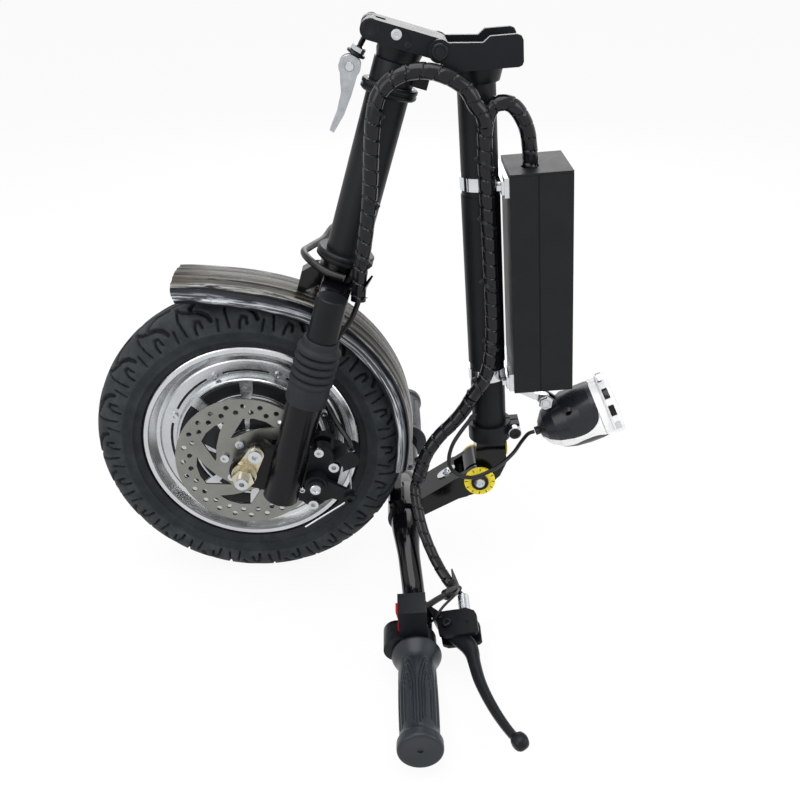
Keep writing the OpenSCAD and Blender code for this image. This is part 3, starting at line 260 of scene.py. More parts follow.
def filmed_plastic():
    """Gloss black ABS still in its clear packing film: a brown cast where the film is doubled over the crown, a
    painted highlight along each shoulder's crease, a painted silvery reflection in a band along each skirt and
    painted glints, all wandering as pulled film does."""
    material, tree = surface("black ABS in clear film", IOR=1.5, Specular_IOR_Level=0.07, Coat_Weight=0.06,
                             Coat_Roughness=0.04)
    grid = add(tree, "UVMap", uv_map="UVMap").outputs["UV"]
    slow = add(tree, "Mapping", {"Vector": grid, "Scale": (6.0, 2.2, 1.0)})
    drift = add(tree, "TexNoise", {"Vector": slow.outputs[0], "Scale": 1.0, "Detail": 2.0})
    part = add(tree, "SeparateXYZ", {0: grid})
    off = add(tree, "Math", {0: part.outputs[1], 1: 0.5}, operation="SUBTRACT")
    away = add(tree, "Math", {0: off.outputs[0]}, operation="ABSOLUTE")
    sway = add(tree, "MapRange", {0: drift.outputs["Fac"], 1: 0.2, 2: 0.8, 3: -0.045, 4: 0.045})
    across = add(tree, "Math", {0: away.outputs[0], 1: sway.outputs[0]}, operation="ADD")
    drawn = add(tree, "Mapping", {"Vector": grid, "Scale": (5.0, 34.0, 1.0)})
    pulls = add(tree, "TexNoise", {"Vector": drawn.outputs[0], "Scale": 1.0, "Detail": 6.0, "Roughness": 0.68,
                                   "Distortion": 1.1})
    # Across the fender: brown film over the crown, a painted highlight at each shoulder's crease, black, then a
    # painted silvery reflection along each skirt
    shade = add(tree, "ValToRGB", {0: across.outputs[0]})
    ramp = shade.color_ramp
    for at, colour in ((0.0, "#5a5348"), (0.2, "#4a443b"), (0.245, "#a9a8a3"), (0.265, "#12151a"), (0.34, "#171a20"),
                       (0.38, "#7b7f86"), (0.44, "#d0d3d7"), (0.47, "#15171b")):
        stop = ramp.elements[0] if at == 0.0 else ramp.elements.new(at)
        stop.position = at
        stop.color = linear(colour)
    ramp.elements.remove(ramp.elements[-1])
    fine = add(tree, "MapRange", {0: pulls.outputs["Fac"], 1: 0.44, 2: 0.52, 3: 0.0, 4: 0.9})
    gone = add(tree, "Mix", {0: fine.outputs[0], 6: shade.outputs[0], 7: linear("#0b0c10")}, data_type="RGBA")
    # Painted glints: pale grey mixed in where the film's pull streaks run low
    painted_glint = add(tree, "MapRange", {0: pulls.outputs["Fac"], 1: 0.33, 2: 0.28, 3: 0.0, 4: 0.5})
    tone = add(tree, "Mix", {0: painted_glint.outputs[0], 6: gone.outputs[2], 7: linear("#b4b7bd")}, data_type="RGBA")
    spread = add(tree, "MapRange", {0: pulls.outputs["Fac"], 1: 0.3, 2: 0.6, 3: 0.32, 4: 0.1})
    relief = add(tree, "Bump", {"Height": pulls.outputs["Fac"], "Strength": 0.35, "Distance": 0.6 * MM})
    return wired(material, Base_Color=tone.outputs[2], Roughness=spread.outputs[0], Normal=relief.outputs[0],
                 Coat_Normal=relief.outputs[0])


def graduated_dial():
    """Yellow moulded washer with engraved tick marks, one each 15 degrees, as on an angle scale."""
    material, tree = surface("yellow graduated plastic", IOR=1.46)
    where = add(tree, "TexCoord").outputs["Object"]
    part, radius = about_axle(tree, where, ANGLE_PIVOT)
    angle = add(tree, "Math", {0: part[2], 1: part[0]}, operation="ARCTAN2")
    turns = add(tree, "Math", {0: angle.outputs[0], 1: 24 / math.tau}, operation="MULTIPLY")
    near = add(tree, "Math", {0: turns.outputs[0], 1: 1.0}, operation="PINGPONG")
    tick = add(tree, "Math", {0: near.outputs[0], 1: 0.14}, operation="LESS_THAN")
    band = add(tree, "Math", {0: radius, 1: 12.4 * MM}, operation="GREATER_THAN")
    edge = add(tree, "Math", {0: radius, 1: 15.4 * MM}, operation="LESS_THAN")
    ring = add(tree, "Math", {0: band.outputs[0], 1: edge.outputs[0]}, operation="MULTIPLY")
    mark = add(tree, "Math", {0: tick.outputs[0], 1: ring.outputs[0]}, operation="MULTIPLY")
    cloud = add(tree, "TexNoise", {"Vector": where, "Scale": 1000 / 6, "Detail": 3.0})
    paint = add(tree, "Mix", {0: cloud.outputs["Fac"], 6: linear("#d9bf10"), 7: linear("#f2dd2a")}, data_type="RGBA")
    tone = add(tree, "Mix", {0: mark.outputs[0], 6: paint.outputs[2], 7: linear("#1c1a10")}, data_type="RGBA")
    spread = add(tree, "MapRange", {0: cloud.outputs["Fac"], 3: 0.28, 4: 0.42})
    relief = add(tree, "Bump", {"Height": mark.outputs[0], "Strength": 0.5, "Distance": 0.2 * MM}, invert=True)
    return wired(material, Base_Color=tone.outputs[2], Roughness=spread.outputs[0], Normal=relief.outputs[0])


def clear_lens():
    """Moulded polycarbonate over a bright reflector: pale, glossy, with fine prism ribs."""
    material, tree = surface("ribbed polycarbonate lens", Roughness=0.08, IOR=1.58, Metallic=0.55)
    where = add(tree, "TexCoord").outputs["Object"]
    ribs = add(tree, "TexWave", {"Vector": where, "Scale": 1000 / 9, "Distortion": 0.6, "Detail": 1.0},
               bands_direction="Y")
    cloud = add(tree, "TexNoise", {"Vector": where, "Scale": 1000 / 14, "Detail": 3.0})
    tone = add(tree, "Mix", {0: cloud.outputs["Fac"], 6: linear("#8d959b"), 7: linear("#e3e8ec")}, data_type="RGBA")
    relief = add(tree, "Bump", {"Height": ribs.outputs["Fac"], "Strength": 0.4, "Distance": 0.5 * MM})
    return wired(material, Base_Color=tone.outputs[2], Normal=relief.outputs[0])


def make_finishes():
    dull = {"IOR": 1.5, "Specular_IOR_Level": 0.16}
    glossy = {"IOR": 1.5, "Specular_IOR_Level": 0.3}
    return {
        # Powder coat: matt black with the pebbled skin of melted powder
        "powder_coat": grained("powder coated steel", "#0f1013", "#1a1c1f", (0.34, 0.5), 0.9, 0.07, **dull),
        # Cast aluminium, painted satin black: a little orange peel
        "satin_black": grained("satin painted cast aluminium", "#0d0f12", "#181b1f", (0.3, 0.44), 1.6, 0.03,
                               **dull),
        # Baked enamel: deep black with sharp highlights
        "gloss_black": grained("gloss black enamel", "#050507", "#0a0b0d", (0.08, 0.17), 3.0, 0.012, **glossy),
        # Hard-coated fork tube: black with a soft, clear highlight down its length
        "fork_coat": grained("black painted fork tube", "#050608", "#0b0c0f", (0.16, 0.28), 2.2, 0.02,
                             IOR=1.5, Specular_IOR_Level=0.22),
        # Black oxide on steel: dark and slightly oily
        "black_oxide": grained("black oxide steel", "#18191c", "#2b2d31", (0.3, 0.44), 0.9, 0.03, patch_mm=6,
                               Metallic=0.7, Specular_IOR_Level=0.3),
        # Anodised extrusion: matt black, faintly streaked
        "black_anodise": grained("black anodised aluminium", "#121315", "#1d1f22", (0.42, 0.55), 0.7, 0.03, **dull),
        # Ground steel tube and bearing rings
        "ground_steel": grained("ground steel", "#7d8084", "#a4a7ab", (0.24, 0.4), 0.8, 0.02, Metallic=1.0),
        # Zinc-plated fasteners: bright grey with soft smears
        "zinc_steel": grained("zinc plated steel", "#a7abb0", "#d9dcdf", (0.18, 0.34), 0.8, 0.02, patch_mm=8,
                              Metallic=1.0),
        # Yellow chromate over zinc: pale gold with green and pink drift
        "yellow_zinc": grained("yellow chromate zinc", "#a09677", "#e2dccb", (0.16, 0.32), 0.9, 0.03, patch_mm=7,
                               Metallic=1.0),
        # Chromed strap: mirror with faint rolling marks
        "chrome": grained("chrome plated strip", "#b9bcc0", "#dfe1e3", (0.06, 0.16), 1.4, 0.01, patch_mm=12,
                          Metallic=1.0),
        # Die-cast lever, bead blasted
        "blasted_alloy": grained("bead blasted aluminium", "#8a8d92", "#c3c6ca", (0.3, 0.46), 0.5, 0.04, patch_mm=9,
                                 Metallic=0.9),
        "polished_rim": machined("polished aluminium rim", "#b0b3b6", "#dcdedf", (0.16, 0.3), 0.9),
        "polished_cover": machined("polished motor cover", "#a4a7aa", "#d6d8da", (0.2, 0.36), 0.8),
        "rotor_steel": machined("ground stainless rotor", "#6f6f6b", "#979792", (0.3, 0.42), 0.7),
        "tyre_rubber": rubber_tread(),
        # Moulded rubber bellows: matt, slightly grey on the crests
        "boot_rubber": grained("moulded rubber bellows", "#191b1e", "#2a2c30", (0.46, 0.62), 1.1, 0.06, **dull),
        # Soft grip rubber: dull, with a fine leathery grain
        "grip_rubber": grained("grip rubber", "#191d22", "#272c32", (0.3, 0.42), 0.8, 0.06, **glossy),
        # PVC cable jacket
        "cable_jacket": grained("PVC cable jacket", "#0a0a0c", "#141517", (0.26, 0.4), 1.2, 0.03, **glossy),
        # Polyethylene spiral wrap: glossy, waxy black
        "spiral_wrap": grained("polyethylene spiral wrap", "#07080a", "#101216", (0.12, 0.26), 2.4, 0.03, **glossy),
        "fender": filmed_plastic(),
        # Moulded ABS with a spark-eroded texture
        "black_abs": grained("textured black ABS", "#0e0f12", "#191b1f", (0.32, 0.46), 0.6, 0.06, IOR=1.54,
                             Specular_IOR_Level=0.2),
        "grey_abs": grained("dark grey ABS", "#26282b", "#383b3f", (0.3, 0.44), 0.7, 0.05, IOR=1.54,
                            Specular_IOR_Level=0.25),
        # Lamp back: slate black, smoother than the other mouldings
        "slate_abs": grained("smooth slate ABS", "#14161b", "#20232a", (0.2, 0.32), 1.4, 0.03, IOR=1.54,
                             Specular_IOR_Level=0.28),
        "white_abs": grained("white ABS", "#dcdddd", "#f1f1f0", (0.22, 0.34), 1.4, 0.02, IOR=1.54),
        "red_abs": grained("red ABS", "#c1141d", "#dd2831", (0.2, 0.32), 1.2, 0.02, IOR=1.54),
        "dial": graduated_dial(),
        "lens": clear_lens(),
        # Solder mask over glass-fibre board
        "board": grained("green solder mask", "#123f25", "#1e5a36", (0.3, 0.5), 0.9, 0.05, patch_mm=5, IOR=1.5),
        # Enamelled copper windings
        "copper": grained("enamelled copper winding", "#7a3f1d", "#b0683a", (0.28, 0.45), 1.4, 0.2, patch_mm=6,
                          Metallic=0.9),
        "magnet": grained("nickel plated magnet", "#585b60", "#7d8085", (0.3, 0.45), 1.2, 0.04, Metallic=0.9),
        # Sintered brake compound: brown-grey and gritty
        "pad": grained("sintered brake compound", "#4b4038", "#75675a", (0.6, 0.8), 0.7, 0.12, patch_mm=4, IOR=1.5),
    }


# Modelling

def pick(*objects):
    """Selects these objects and nothing else. The first of them is the active one."""
    bpy.ops.object.select_all(action="DESELECT")
    for one in reversed(objects):
        one.select_set(True)
        bpy.context.view_layer.objects.active = one


def edit_all():
    bpy.ops.object.mode_set(mode="EDIT")
    bpy.ops.mesh.select_all(action="SELECT")


def face_outward(weld=False):
    """Ends an edit: the faces are turned outward, after points that coincide are merged where that is asked."""
    bpy.ops.mesh.select_all(action="SELECT")
    if weld:
        bpy.ops.mesh.remove_doubles(threshold=1e-6)
    bpy.ops.mesh.normals_make_consistent(inside=False)
    bpy.ops.object.mode_set(mode="OBJECT")


def line_object(name, points, closed=False):
    curve = bpy.data.curves.new(name, "CURVE")
    curve.dimensions = "3D"
    spline = curve.splines.new("POLY")
    spline.points.add(len(points) - 1)
    for point, p in zip(spline.points, points):
        point.co = (p[0] * MM, p[1] * MM, p[2] * MM, 1)
    spline.use_cyclic_u = closed
    made = bpy.data.objects.new(name, curve)
    scene.collection.objects.link(made)
    pick(made)
    return made


def eased(points, parts):
    """Points on a smooth line through the given ones, as the solids' routes are drawn."""
    p = [np.array(q, float) for q in points]
    out = []
    for i in range(len(p) - 1):
        a, b, c, d = p[max(i - 1, 0)], p[i], p[i + 1], p[min(i + 2, len(p) - 1)]
        for j in range(parts):
            t = j / parts
            out.append(0.5 * (2 * b + (c - a) * t + (2 * a - 5 * b + 4 * c - d) * t * t
                              + (3 * b - a - 3 * c + d) * t ** 3))
    return out + [p[-1]]


def lengths(line):
    """The way along a line to each of its points."""
    return np.concatenate([[0], np.cumsum([np.linalg.norm(b - a) for a, b in zip(line, line[1:])])])


def spaced(line, count):
    """Points at even distances along a line."""
    along = lengths(line)
    return [tuple(np.interp(d, along, [p[i] for p in line]) for i in range(len(line[0])))
            for d in np.linspace(0, along[-1], count)]


def turned(name, profile, steps):
    """A closed profile of radius and y, spun round the y axis."""
    line_object(name, [(r, y, 0) for r, y in profile], closed=True)
    bpy.ops.object.convert(target="MESH")
    edit_all()
    bpy.ops.mesh.spin(steps=steps, angle=math.tau, center=(0, 0, 0), axis=(0, 1, 0))
    face_outward(weld=True)
    return bpy.context.object


def strand(name, points, radii, sides=5):
    """A round strand along points, with a radius at each of them."""
    made = line_object(name, points)
    made.data.bevel_depth = MM
    made.data.bevel_resolution = sides
    made.data.use_fill_caps = True
    made.data.twist_mode = "MINIMUM"
    for point, r in zip(made.data.splines[0].points, radii):
        point.radius = r
    bpy.ops.object.convert(target="MESH")
    return bpy.context.object


def formed(name, columns, rows, shape, closed=False):
    """A grid whose points are put on a surface: shape gives a place in mm for each share across and along."""
    pick()
    bpy.ops.mesh.primitive_grid_add(x_subdivisions=columns, y_subdivisions=rows, size=2)
    made = bpy.context.object
    made.name = name
    for vertex in made.data.vertices:
        vertex.co = Vector(shape((vertex.co.x + 1) / 2, (vertex.co.y + 1) / 2)) * MM
    if closed:
        edit_all()
        face_outward(weld=True)
    return made


def thicken(made, thickness_mm, offset=-1):
    solid = made.modifiers.new("wall", "SOLIDIFY")
    solid.thickness = thickness_mm * MM
    solid.offset = offset
    bpy.ops.object.modifier_apply(modifier=solid.name)


def place(made, matrix, finish, body, replaced=(), angle=35):
    """Puts a finished piece in the part's frame, gives it its finish and lets it ride on its body; a piece given two
    bodies is baked in place and rides on neither.
    """
    made.data.transform(matrix)
    made.data.name = made.name
    made.data.materials.append(finishes[finish])
    pick(made)
    bpy.ops.object.shade_smooth_by_angle(angle=math.radians(angle))
    if isinstance(body, tuple):
        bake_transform(made)
    else:
        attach(made, body)
    if replaced:
        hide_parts(*replaced)
    return made


def between(first, second, matrix, start, end):
    """The two bodies that a piece runs between, with where it leaves the one and reaches the other."""
    return first, second, matrix @ (Vector(start) * MM), matrix @ (Vector(end) * MM)


def joined(pieces, name):
    """Makes several pieces one, under a name."""
    pick(*pieces)
    bpy.ops.object.join()
    pieces[0].name = name
    return pieces[0]


def tread_depth(angle, section, side):
    """Groove depth of the tyre in mm: branched arcs from the crown, long thin cuts and hooked shoulder cuts, the two
    sides half a pitch apart."""
    # 20 repeats of 49 mm, and 44 mm from the crown to the shoulder, at 82 degrees of the section
    pitches, pitch, girth, widest = 20, 49.0, 44, 82
    t = (angle / math.tau * pitches + np.where(side > 0, 0.0, 0.5)) % 1
    w = section / widest
    # Half width and depth in mm, then the line in shares of the pitch and of the half's width
    grooves = (
        (2.3, 3.2, [(-0.14, 0.16), (0.08, 0.17), (0.25, 0.24), (0.36, 0.36), (0.38, 0.48)]),
        (2.1, 3.2, [(0.38, 0.48), (0.2, 0.52), (0.05, 0.62), (-0.02, 0.74)]),
        (2.0, 3.0, [(0.38, 0.48), (0.52, 0.44), (0.63, 0.35), (0.67, 0.26)]),
        (1.3, 2.2, [(0.67, 0.26), (0.66, 0.6), (0.6, 0.94)]),
        (1.6, 2.4, [(0.2, 0.86), (0.22, 0.72), (0.31, 0.7), (0.36, 0.82), (0.37, 0.97)]),
        (1.3, 2.0, [(0.84, 0.74), (0.86, 1.0)]),
        (1.4, 2.0, [(-0.5, 0.07), (0.0, 0.1), (0.5, 0.07)]))
    depth = np.zeros_like(t)
    for half, deep, line in grooves:
        for (t0, w0), (t1, w1) in zip(line, line[1:]):
            run = np.array([(t1 - t0) * pitch, (w1 - w0) * girth])
            for shift in (-1, 0, 1):
                at = np.stack([(t + shift - t0) * pitch, (w - w0) * girth])
                share = np.clip((at[0] * run[0] + at[1] * run[1]) / (run @ run), 0, 1)
                gap = np.hypot(at[0] - share * run[0], at[1] - share * run[1])
                depth = np.maximum(depth, deep * np.clip(1.7 - 1.4 * gap / half, 0, 1))
    return depth


def make_tyre():
    core = 126  # radius to the middle of the round section
    crown = eased([(157, 0), (156.4, 8), (154.8, 15), (151.5, 21.5), (146, 26.8), (139, 30), (131, 31),
                   (127, 30.8)], 12)
    tread = spaced(crown, 43)
    wall = [(123, 30), (119.6, 29.4), (118.6, 29.8), (117.4, 29.6), (116.8, 28.4), (113, 26.9), (110.2, 25.2)]
    bead = [(110.2, 21), (103, 20), (103, 14), (110, 16.5)]
    inside = [(121, 24), (130, 26), (139, 24.5), (146, 19.5), (149.5, 11), (150.5, 0)]
    near = tread[1:] + wall + bead + inside[:-1]
    profile = [(157, 0)] + near + [inside[-1]] + [(r, -y) for r, y in reversed(near)]
    tyre = turned("tyre_tread", profile, 800)
    co = np.zeros(len(tyre.data.vertices) * 3)
    tyre.data.vertices.foreach_get("co", co)
    co = co.reshape(-1, 3) / MM
    radius = np.hypot(co[:, 0], co[:, 2])
    out = np.stack([radius - core, co[:, 1]], 1)
    reach = np.linalg.norm(out, axis=1)
    section = np.degrees(np.arctan2(np.abs(co[:, 1]), radius - core))
    skin = (reach > 28) & (section < 86)
    depth = np.where(skin, tread_depth(np.arctan2(co[:, 2], co[:, 0]), section, co[:, 1]), 0)
    # The groove attribute drives painted shade: darker with groove depth on the tread, and 0.35 of the way darker off
    # the tread
    sunk = tyre.data.attributes.new("groove", "FLOAT", "POINT")
    sunk.data.foreach_set("value", np.where(skin, np.clip(depth / 2.2, 0, 1), 0.35).astype(np.float32))
    shift = out / reach[:, None] * depth[:, None]
    grown = (radius - shift[:, 0]) / radius
    co = np.stack([co[:, 0] * grown, co[:, 1] - shift[:, 1], co[:, 2] * grown], 1)
    tyre.data.vertices.foreach_set("co", (co * MM).ravel())
    tyre.data.update()
    place(tyre, WHEEL, "tyre_rubber", "wheel", ["tyre"], angle=50)


def make_cover_panels():
    """Black inlays between the polished ribs of the motor covers, in the arc slots round them and down the cone."""
    ribs, first_rib, inlay_mm = 8, 16, 0.8
    made = []
    # The line of radius and height that an inlay follows, and the angles from a rib where it begins and ends
    bands = (([(57.4, 22.4), (59, 23.5), (65, 23.7), (70.5, 23.5), (72.1, 22.4)], 5.6, 39.4),
             ([(79.8, 15.7), (80.4, 16.1), (81.6, 16.1), (82.2, 15.7)], 28.8, 61.2),
             ([(55.6, 25.0), (54.6, 25.9), (46.2, 26.9), (34.4, 35.7), (27.4, 38.2), (26.5, 37.2)], 4.4, 40.6))
    for side in (-1, 1):
        for line, first, last in bands:
            for i in range(ribs):
                def sector(u, v):
                    angle = math.radians(i * 360 / ribs + first + (last - first) * u + first_rib)
                    share = v * (len(line) - 1)
                    at = min(int(share), len(line) - 2)
                    radius, face = ((1 - share + at) * a + (share - at) * b for a, b in zip(line[at], line[at + 1]))
                    return (radius * math.cos(angle), side * face, radius * math.sin(angle))
                inlay = formed("inlay", 14, len(line) * 3 - 3, sector)
                edit_all()
                bpy.ops.mesh.extrude_region_move(TRANSFORM_OT_translate={"value": (0, -side * inlay_mm * MM, 0)})
                face_outward()
                made.append(inlay)
    place(joined(made, "cover_panels"), WHEEL, "black_abs", "wheel")


def make_fender():
    # Angle and radius of the crown line about the axle, then the section across it
    arc = [(6, 163.1), (16, 164.1), (26, 165.6), (37, 167.1), (48, 168.1), (59, 169.1), (71, 169.6), (80, 169.6),
           (90, 169.6), (98, 170.6), (106, 173.1), (112, 176.1), (118, 180.6), (125, 187.6)]
    line = eased(arc, 8)
    section = eased([(-39, -17), (-37.5, -8), (-29, -3.4), (-11, -0.9), (0, 0), (11, -0.9), (29, -3.4), (37.5, -8),
                     (39, -17)], 8)

    def shell(u, v):
        angle, radius = line[round(u * (len(line) - 1))]
        y, drop = section[round(v * (len(section) - 1))]
        ridge = 0.9 * (math.exp(-((abs(y) - 25) / 1.6) ** 2) + math.exp(-((abs(y) - 12) / 1.6) ** 2))
        a = math.radians(angle)
        reach = radius + drop + ridge - 0.4
        return (reach * math.cos(a), y, reach * math.sin(a))

    fender = formed("fender_shell", len(line) - 1, len(section) - 1, shell)
    edit_all()
    face_outward()
    middle = fender.data.polygons[len(fender.data.polygons) // 2]
    if middle.normal.dot(middle.center) < 0:
        edit_all()
        bpy.ops.mesh.flip_normals()
        bpy.ops.object.mode_set(mode="OBJECT")
    thicken(fender, 2.2)
    place(fender, WHEEL, "fender", "fork_upper", ["fender"], angle=60)


def make_boots():
    """Two rubber bellows over the fork legs."""
    folds, fold_mm = 5, 7.8

    def wall(t, valley, crest, clear, clear_y):
        """Radius and height t folds above the cuff. The lowest folds are wider, clear of the slider's rim."""
        y = -46 + fold_mm * t
        rim = min(clear, clear - (y + clear_y) * 0.5)
        return (max(valley + crest * abs(math.sin(math.pi * t)) ** 0.7, rim), y)

    outer = [(17.3, -65), (19.0, -65), (19.4, -64), (19.5, -51), (19.2, -48)]
    outer += [wall(i / 12, 16.9, 3.6, 18.4, 41) for i in range(folds * 12 + 1)]
    outer += [(16.6, -5.6), (16.4, -0.6), (15.8, 0), (14.1, 0)]
    inner = [(14.1, -5)] + [wall(i / 4, 15.3, 2.4, 17.3, 43) for i in range(folds * 4, -1, -1)] + [(17.3, -50)]
    for side, name in ((-1, "near"), (1, "far")):
        boot = turned("boot_" + name, outer + inner, 64)
        top = STEERING @ move(-5, side * 76, -133.4)
        made = place(boot, top @ UPRIGHT, "boot_rubber", "fork_upper", ["fork_boots"], angle=60)
        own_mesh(made)


def wrapped(name, route, radius, matrix, body, node):
    """A wire bundle in spiral wrap: the band's turns overlap a little and leave a narrow helical groove."""
    pitch, step, groove, lap = 13.0, 1.3, 1.1, 0.25
    path = eased(route, 1 + 60 // (len(route) - 1))
    length = lengths(path)[-1]
    count = int(length / step)
    even = spaced(path, count)
    bundle = strand(name, even, [radius] * count, sides=12)
    ring = len(bundle.data.vertices) // count
    for i, vertex in enumerate(bundle.data.vertices[:ring * count]):
        row, column = divmod(i, ring)
        phase = (row * length / (count - 1) / pitch + column / ring) % 1
        sink = groove if phase < 0.1 else lap * (phase - 0.1)
        middle = Vector(even[row]) * MM
        spoke = vertex.co - middle
        vertex.co = middle + spoke * (1 - sink / radius)
    bundle.data.update()
    place(bundle, matrix, "spiral_wrap", body, [node], angle=30)


def make_wires():
    # Routes down from the hinge, along the stem, up the quill and out to the handlebar
    fork = [(85, -30, 75.5), (79.5, -33, 84), (71, HEAD_Y + 4, 90), (59, HEAD_Y + 1, 101), (41, HEAD_Y, 106),
            (21, HEAD_Y, 105), (3, HEAD_Y, 96), (-8, HEAD_Y, 80), (-9, HEAD_Y, 62), (-3, HEAD_Y, 30),
            (6, HEAD_Y, -10), (12, HEAD_Y, -50), (15, HEAD_Y, -78), (20, HEAD_Y - 2, -104)]
    stem = [(-44, -10, 112), (-44, -11, 92), (-40, -18, 68), (-28, RUN_Y, 48), (-13, RUN_Y - 2, 46),
            (-5, RUN_Y - 2, 60), (-3, RUN_Y, 90), (-4, RUN_Y, 170), (-4, RUN_Y, 258), (3, RUN_Y - 1, 300),
            (18, RUN_Y - 1, 324)]
    quill = [(18.6, RUN_Y - 1, 325), (27, RUN_Y - 1, 338.4), (39, RUN_Y - 5, 350), (54, RUN_Y - 8, 363),
             (68, -37, 382), (77, -40, 406)]
    bar = [(77.4, -40.1, 407), (81, -41.5, 417), (79.5, -55, 434), (75, -70, 453), (66, -86, 474), (55, -102, 489),
           (46, -113, 494)]
    wrapped("fork_bundle", fork, BUNDLE, STEERING,
            between("fork_upper", "stem", STEERING, (24, HEAD_Y, 100), (78, HEAD_Y, 100)), "fork_harness")
    wrapped("stem_bundle", stem, BUNDLE, STEM, "stem", "stem_harness")
    wrapped("quill_bundle", quill, BUNDLE, STEM, between("stem", "quill", STEM, quill[0], quill[-1]), "quill_harness")
    wrapped("bar_bundle", bar, 5.5, STEM, between("quill", "handlebar", STEM, bar[0], bar[-1]), "bar_harness")
    # Single leads: the brake's outer, the motor's round the crown, the brake's inner wire and the lamp's
    brake = [(20.3, HEAD_Y - 2.2, -105.4), (18, -44, -122), (9, -47, -148), (6, -48, -182), (13, -52, -206),
             (30, -64, -221), (44, -75, -230), (48, -78, -235)]
    motor = [(2.6, HEAD_Y + 2, -88), (-14, -31, -88), (-30, -19, -86), (-38, 0, -86), (-33, 22, -87), (-22, 52, -86),
             (-14, 82, -81), (-6, 101, -98), (-4, 104, -150), (-4, 104, -210), (-16, 107, -252), (-34, 110, -280),
             (-43, 107, -290), (-44, 97.6, -291)]
    tail = [(51, -78, -250), (55.5, -77, -269), (60, -76.6, -287), (58, -76.6, -297), (48, -78, -309),
            (37, -80, -321), (26, -82, -333)]
    lamp = [(16, RUN_Y - 12, 336), (40, -44, 366), (44, -45, 392), (26, -42, 408), (0, -36, 404), (-20, -22, 397),
            (-32, -8, 390.5), (-39.7, 0, 386.9), (-46.3, 0, 384.5)]
    jacket = "cable_jacket"
    sprung = between("fork_upper", "fork_lower", STEERING, (0, 0, -110), (0, 0, -230))
    for name, route, radius, matrix, finish, body, slot, node in (
            ("brake_outer", brake, 2.5, STEERING, jacket, sprung, "cable_black", "brake_cable"),
            ("motor_lead", motor, 3.5, STEERING, jacket, sprung, "cable_black", "motor_cable"),
            ("brake_inner", tail, 0.9, STEERING, "zinc_steel",
             between("fork_lower", "brake_arm", STEERING, tail[0], tail[2]), "bolt_steel", "brake_wire"),
            ("lamp_lead", lamp, 2, STEM, jacket, between("stem", "lamp", STEM, lamp[5], lamp[-1]), "cable_black",
             "lamp_cable")):
        path = eased(route, 10)
        place(strand(name, path, [radius] * len(path)), matrix, finish, body, [node])


def make_handlebar():
    """Riser bar: thick in its clamp, bent up on both sides and a little thinner inside the grips."""
    half, rise, sweep = 297, 33, -4

    def ease(y, start, run):
        t = min(max((abs(y) - start) / run, 0), 1)
        return t * t * (3 - 2 * t)

    path, radii = [], []
    for y in np.linspace(half, -half, 101):
        bend = ease(y, 45, 78)
        path.append((sweep * bend, y, rise * bend))
        radii.append(11.1 + 4.8 * (1 - ease(y, 26, 52)) - 0.4 * ease(y, 180, 8))
    place(strand("riser_bar", path, radii, sides=10), BAR, "gloss_black", "handlebar", ["handlebar"])


def make_grip(name, side, body, node):
    """Rubber grip with nested pointed arches cut into it, a flange at each end and a dished end cap."""
    g, bore = 17, 11.2  # radius of the rubber at its thinnest, and of the hole for the bar
    outer = eased([(g + 5.6, 0.2), (g + 6, 1), (g + 6, 2.6), (g + 4.6, 6), (g + 1.2, 13), (g + 0.1, 18)], 5)
    outer += [(g + 0.5 * math.sin(math.pi * (s - 18) / 78) + 0.1, s) for s in np.arange(18.7, 96, 0.7)]
    outer += eased([(g + 0.2, 96.4), (g + 0.8, 100), (g + 2.4, 102.6), (g + 2.6, 104), (g + 2.6, 109.5),
                    (g + 1.8, 111.4), (g, 112), (g - 5, 111.6), (5, 111), (2.4, 111)], 4)
    outer += [(2.2, 109.8), (0.02, 109.6)]
    grip = turned(name, [(bore, 0.2)] + outer + [(0.02, 109), (bore, 109)], 168)
    for vertex in grip.data.vertices:
        x, s, z = (c / MM for c in vertex.co)
        radius = math.hypot(x, z)
        if radius < 16.5 or not 17 < s < 97:
            continue
        angle = (math.degrees(math.atan2(z, x)) + 30) % 60 - 30
        cut = 0.0
        # The arches, one in the other: where the point stands, how soon the sides run straight, half the width
        for apex, reach, half in ((18.5, 26, 25), (26, 24, 17.5), (36, 22, 10)):
            if s > apex and s < 95 - (25 - half) * 0.3:
                side_at = half * min(1.0, ((s - apex) / reach)) ** 0.55
                cut = max(cut, 1 - abs(abs(angle) - side_at) * math.radians(radius) / 0.8)
        if cut > 0:
            sunk = 1 - 0.9 * min(cut * 1.5, 1) / radius
            vertex.co.x *= sunk
            vertex.co.z *= sunk
    grip.data.update()
    matrix = GRIP @ move(0, side * 191, 0)
    if side < 0:
        matrix = matrix @ turn(180, "X")
    place(grip, matrix, "grip_rubber", body, [node], angle=45)


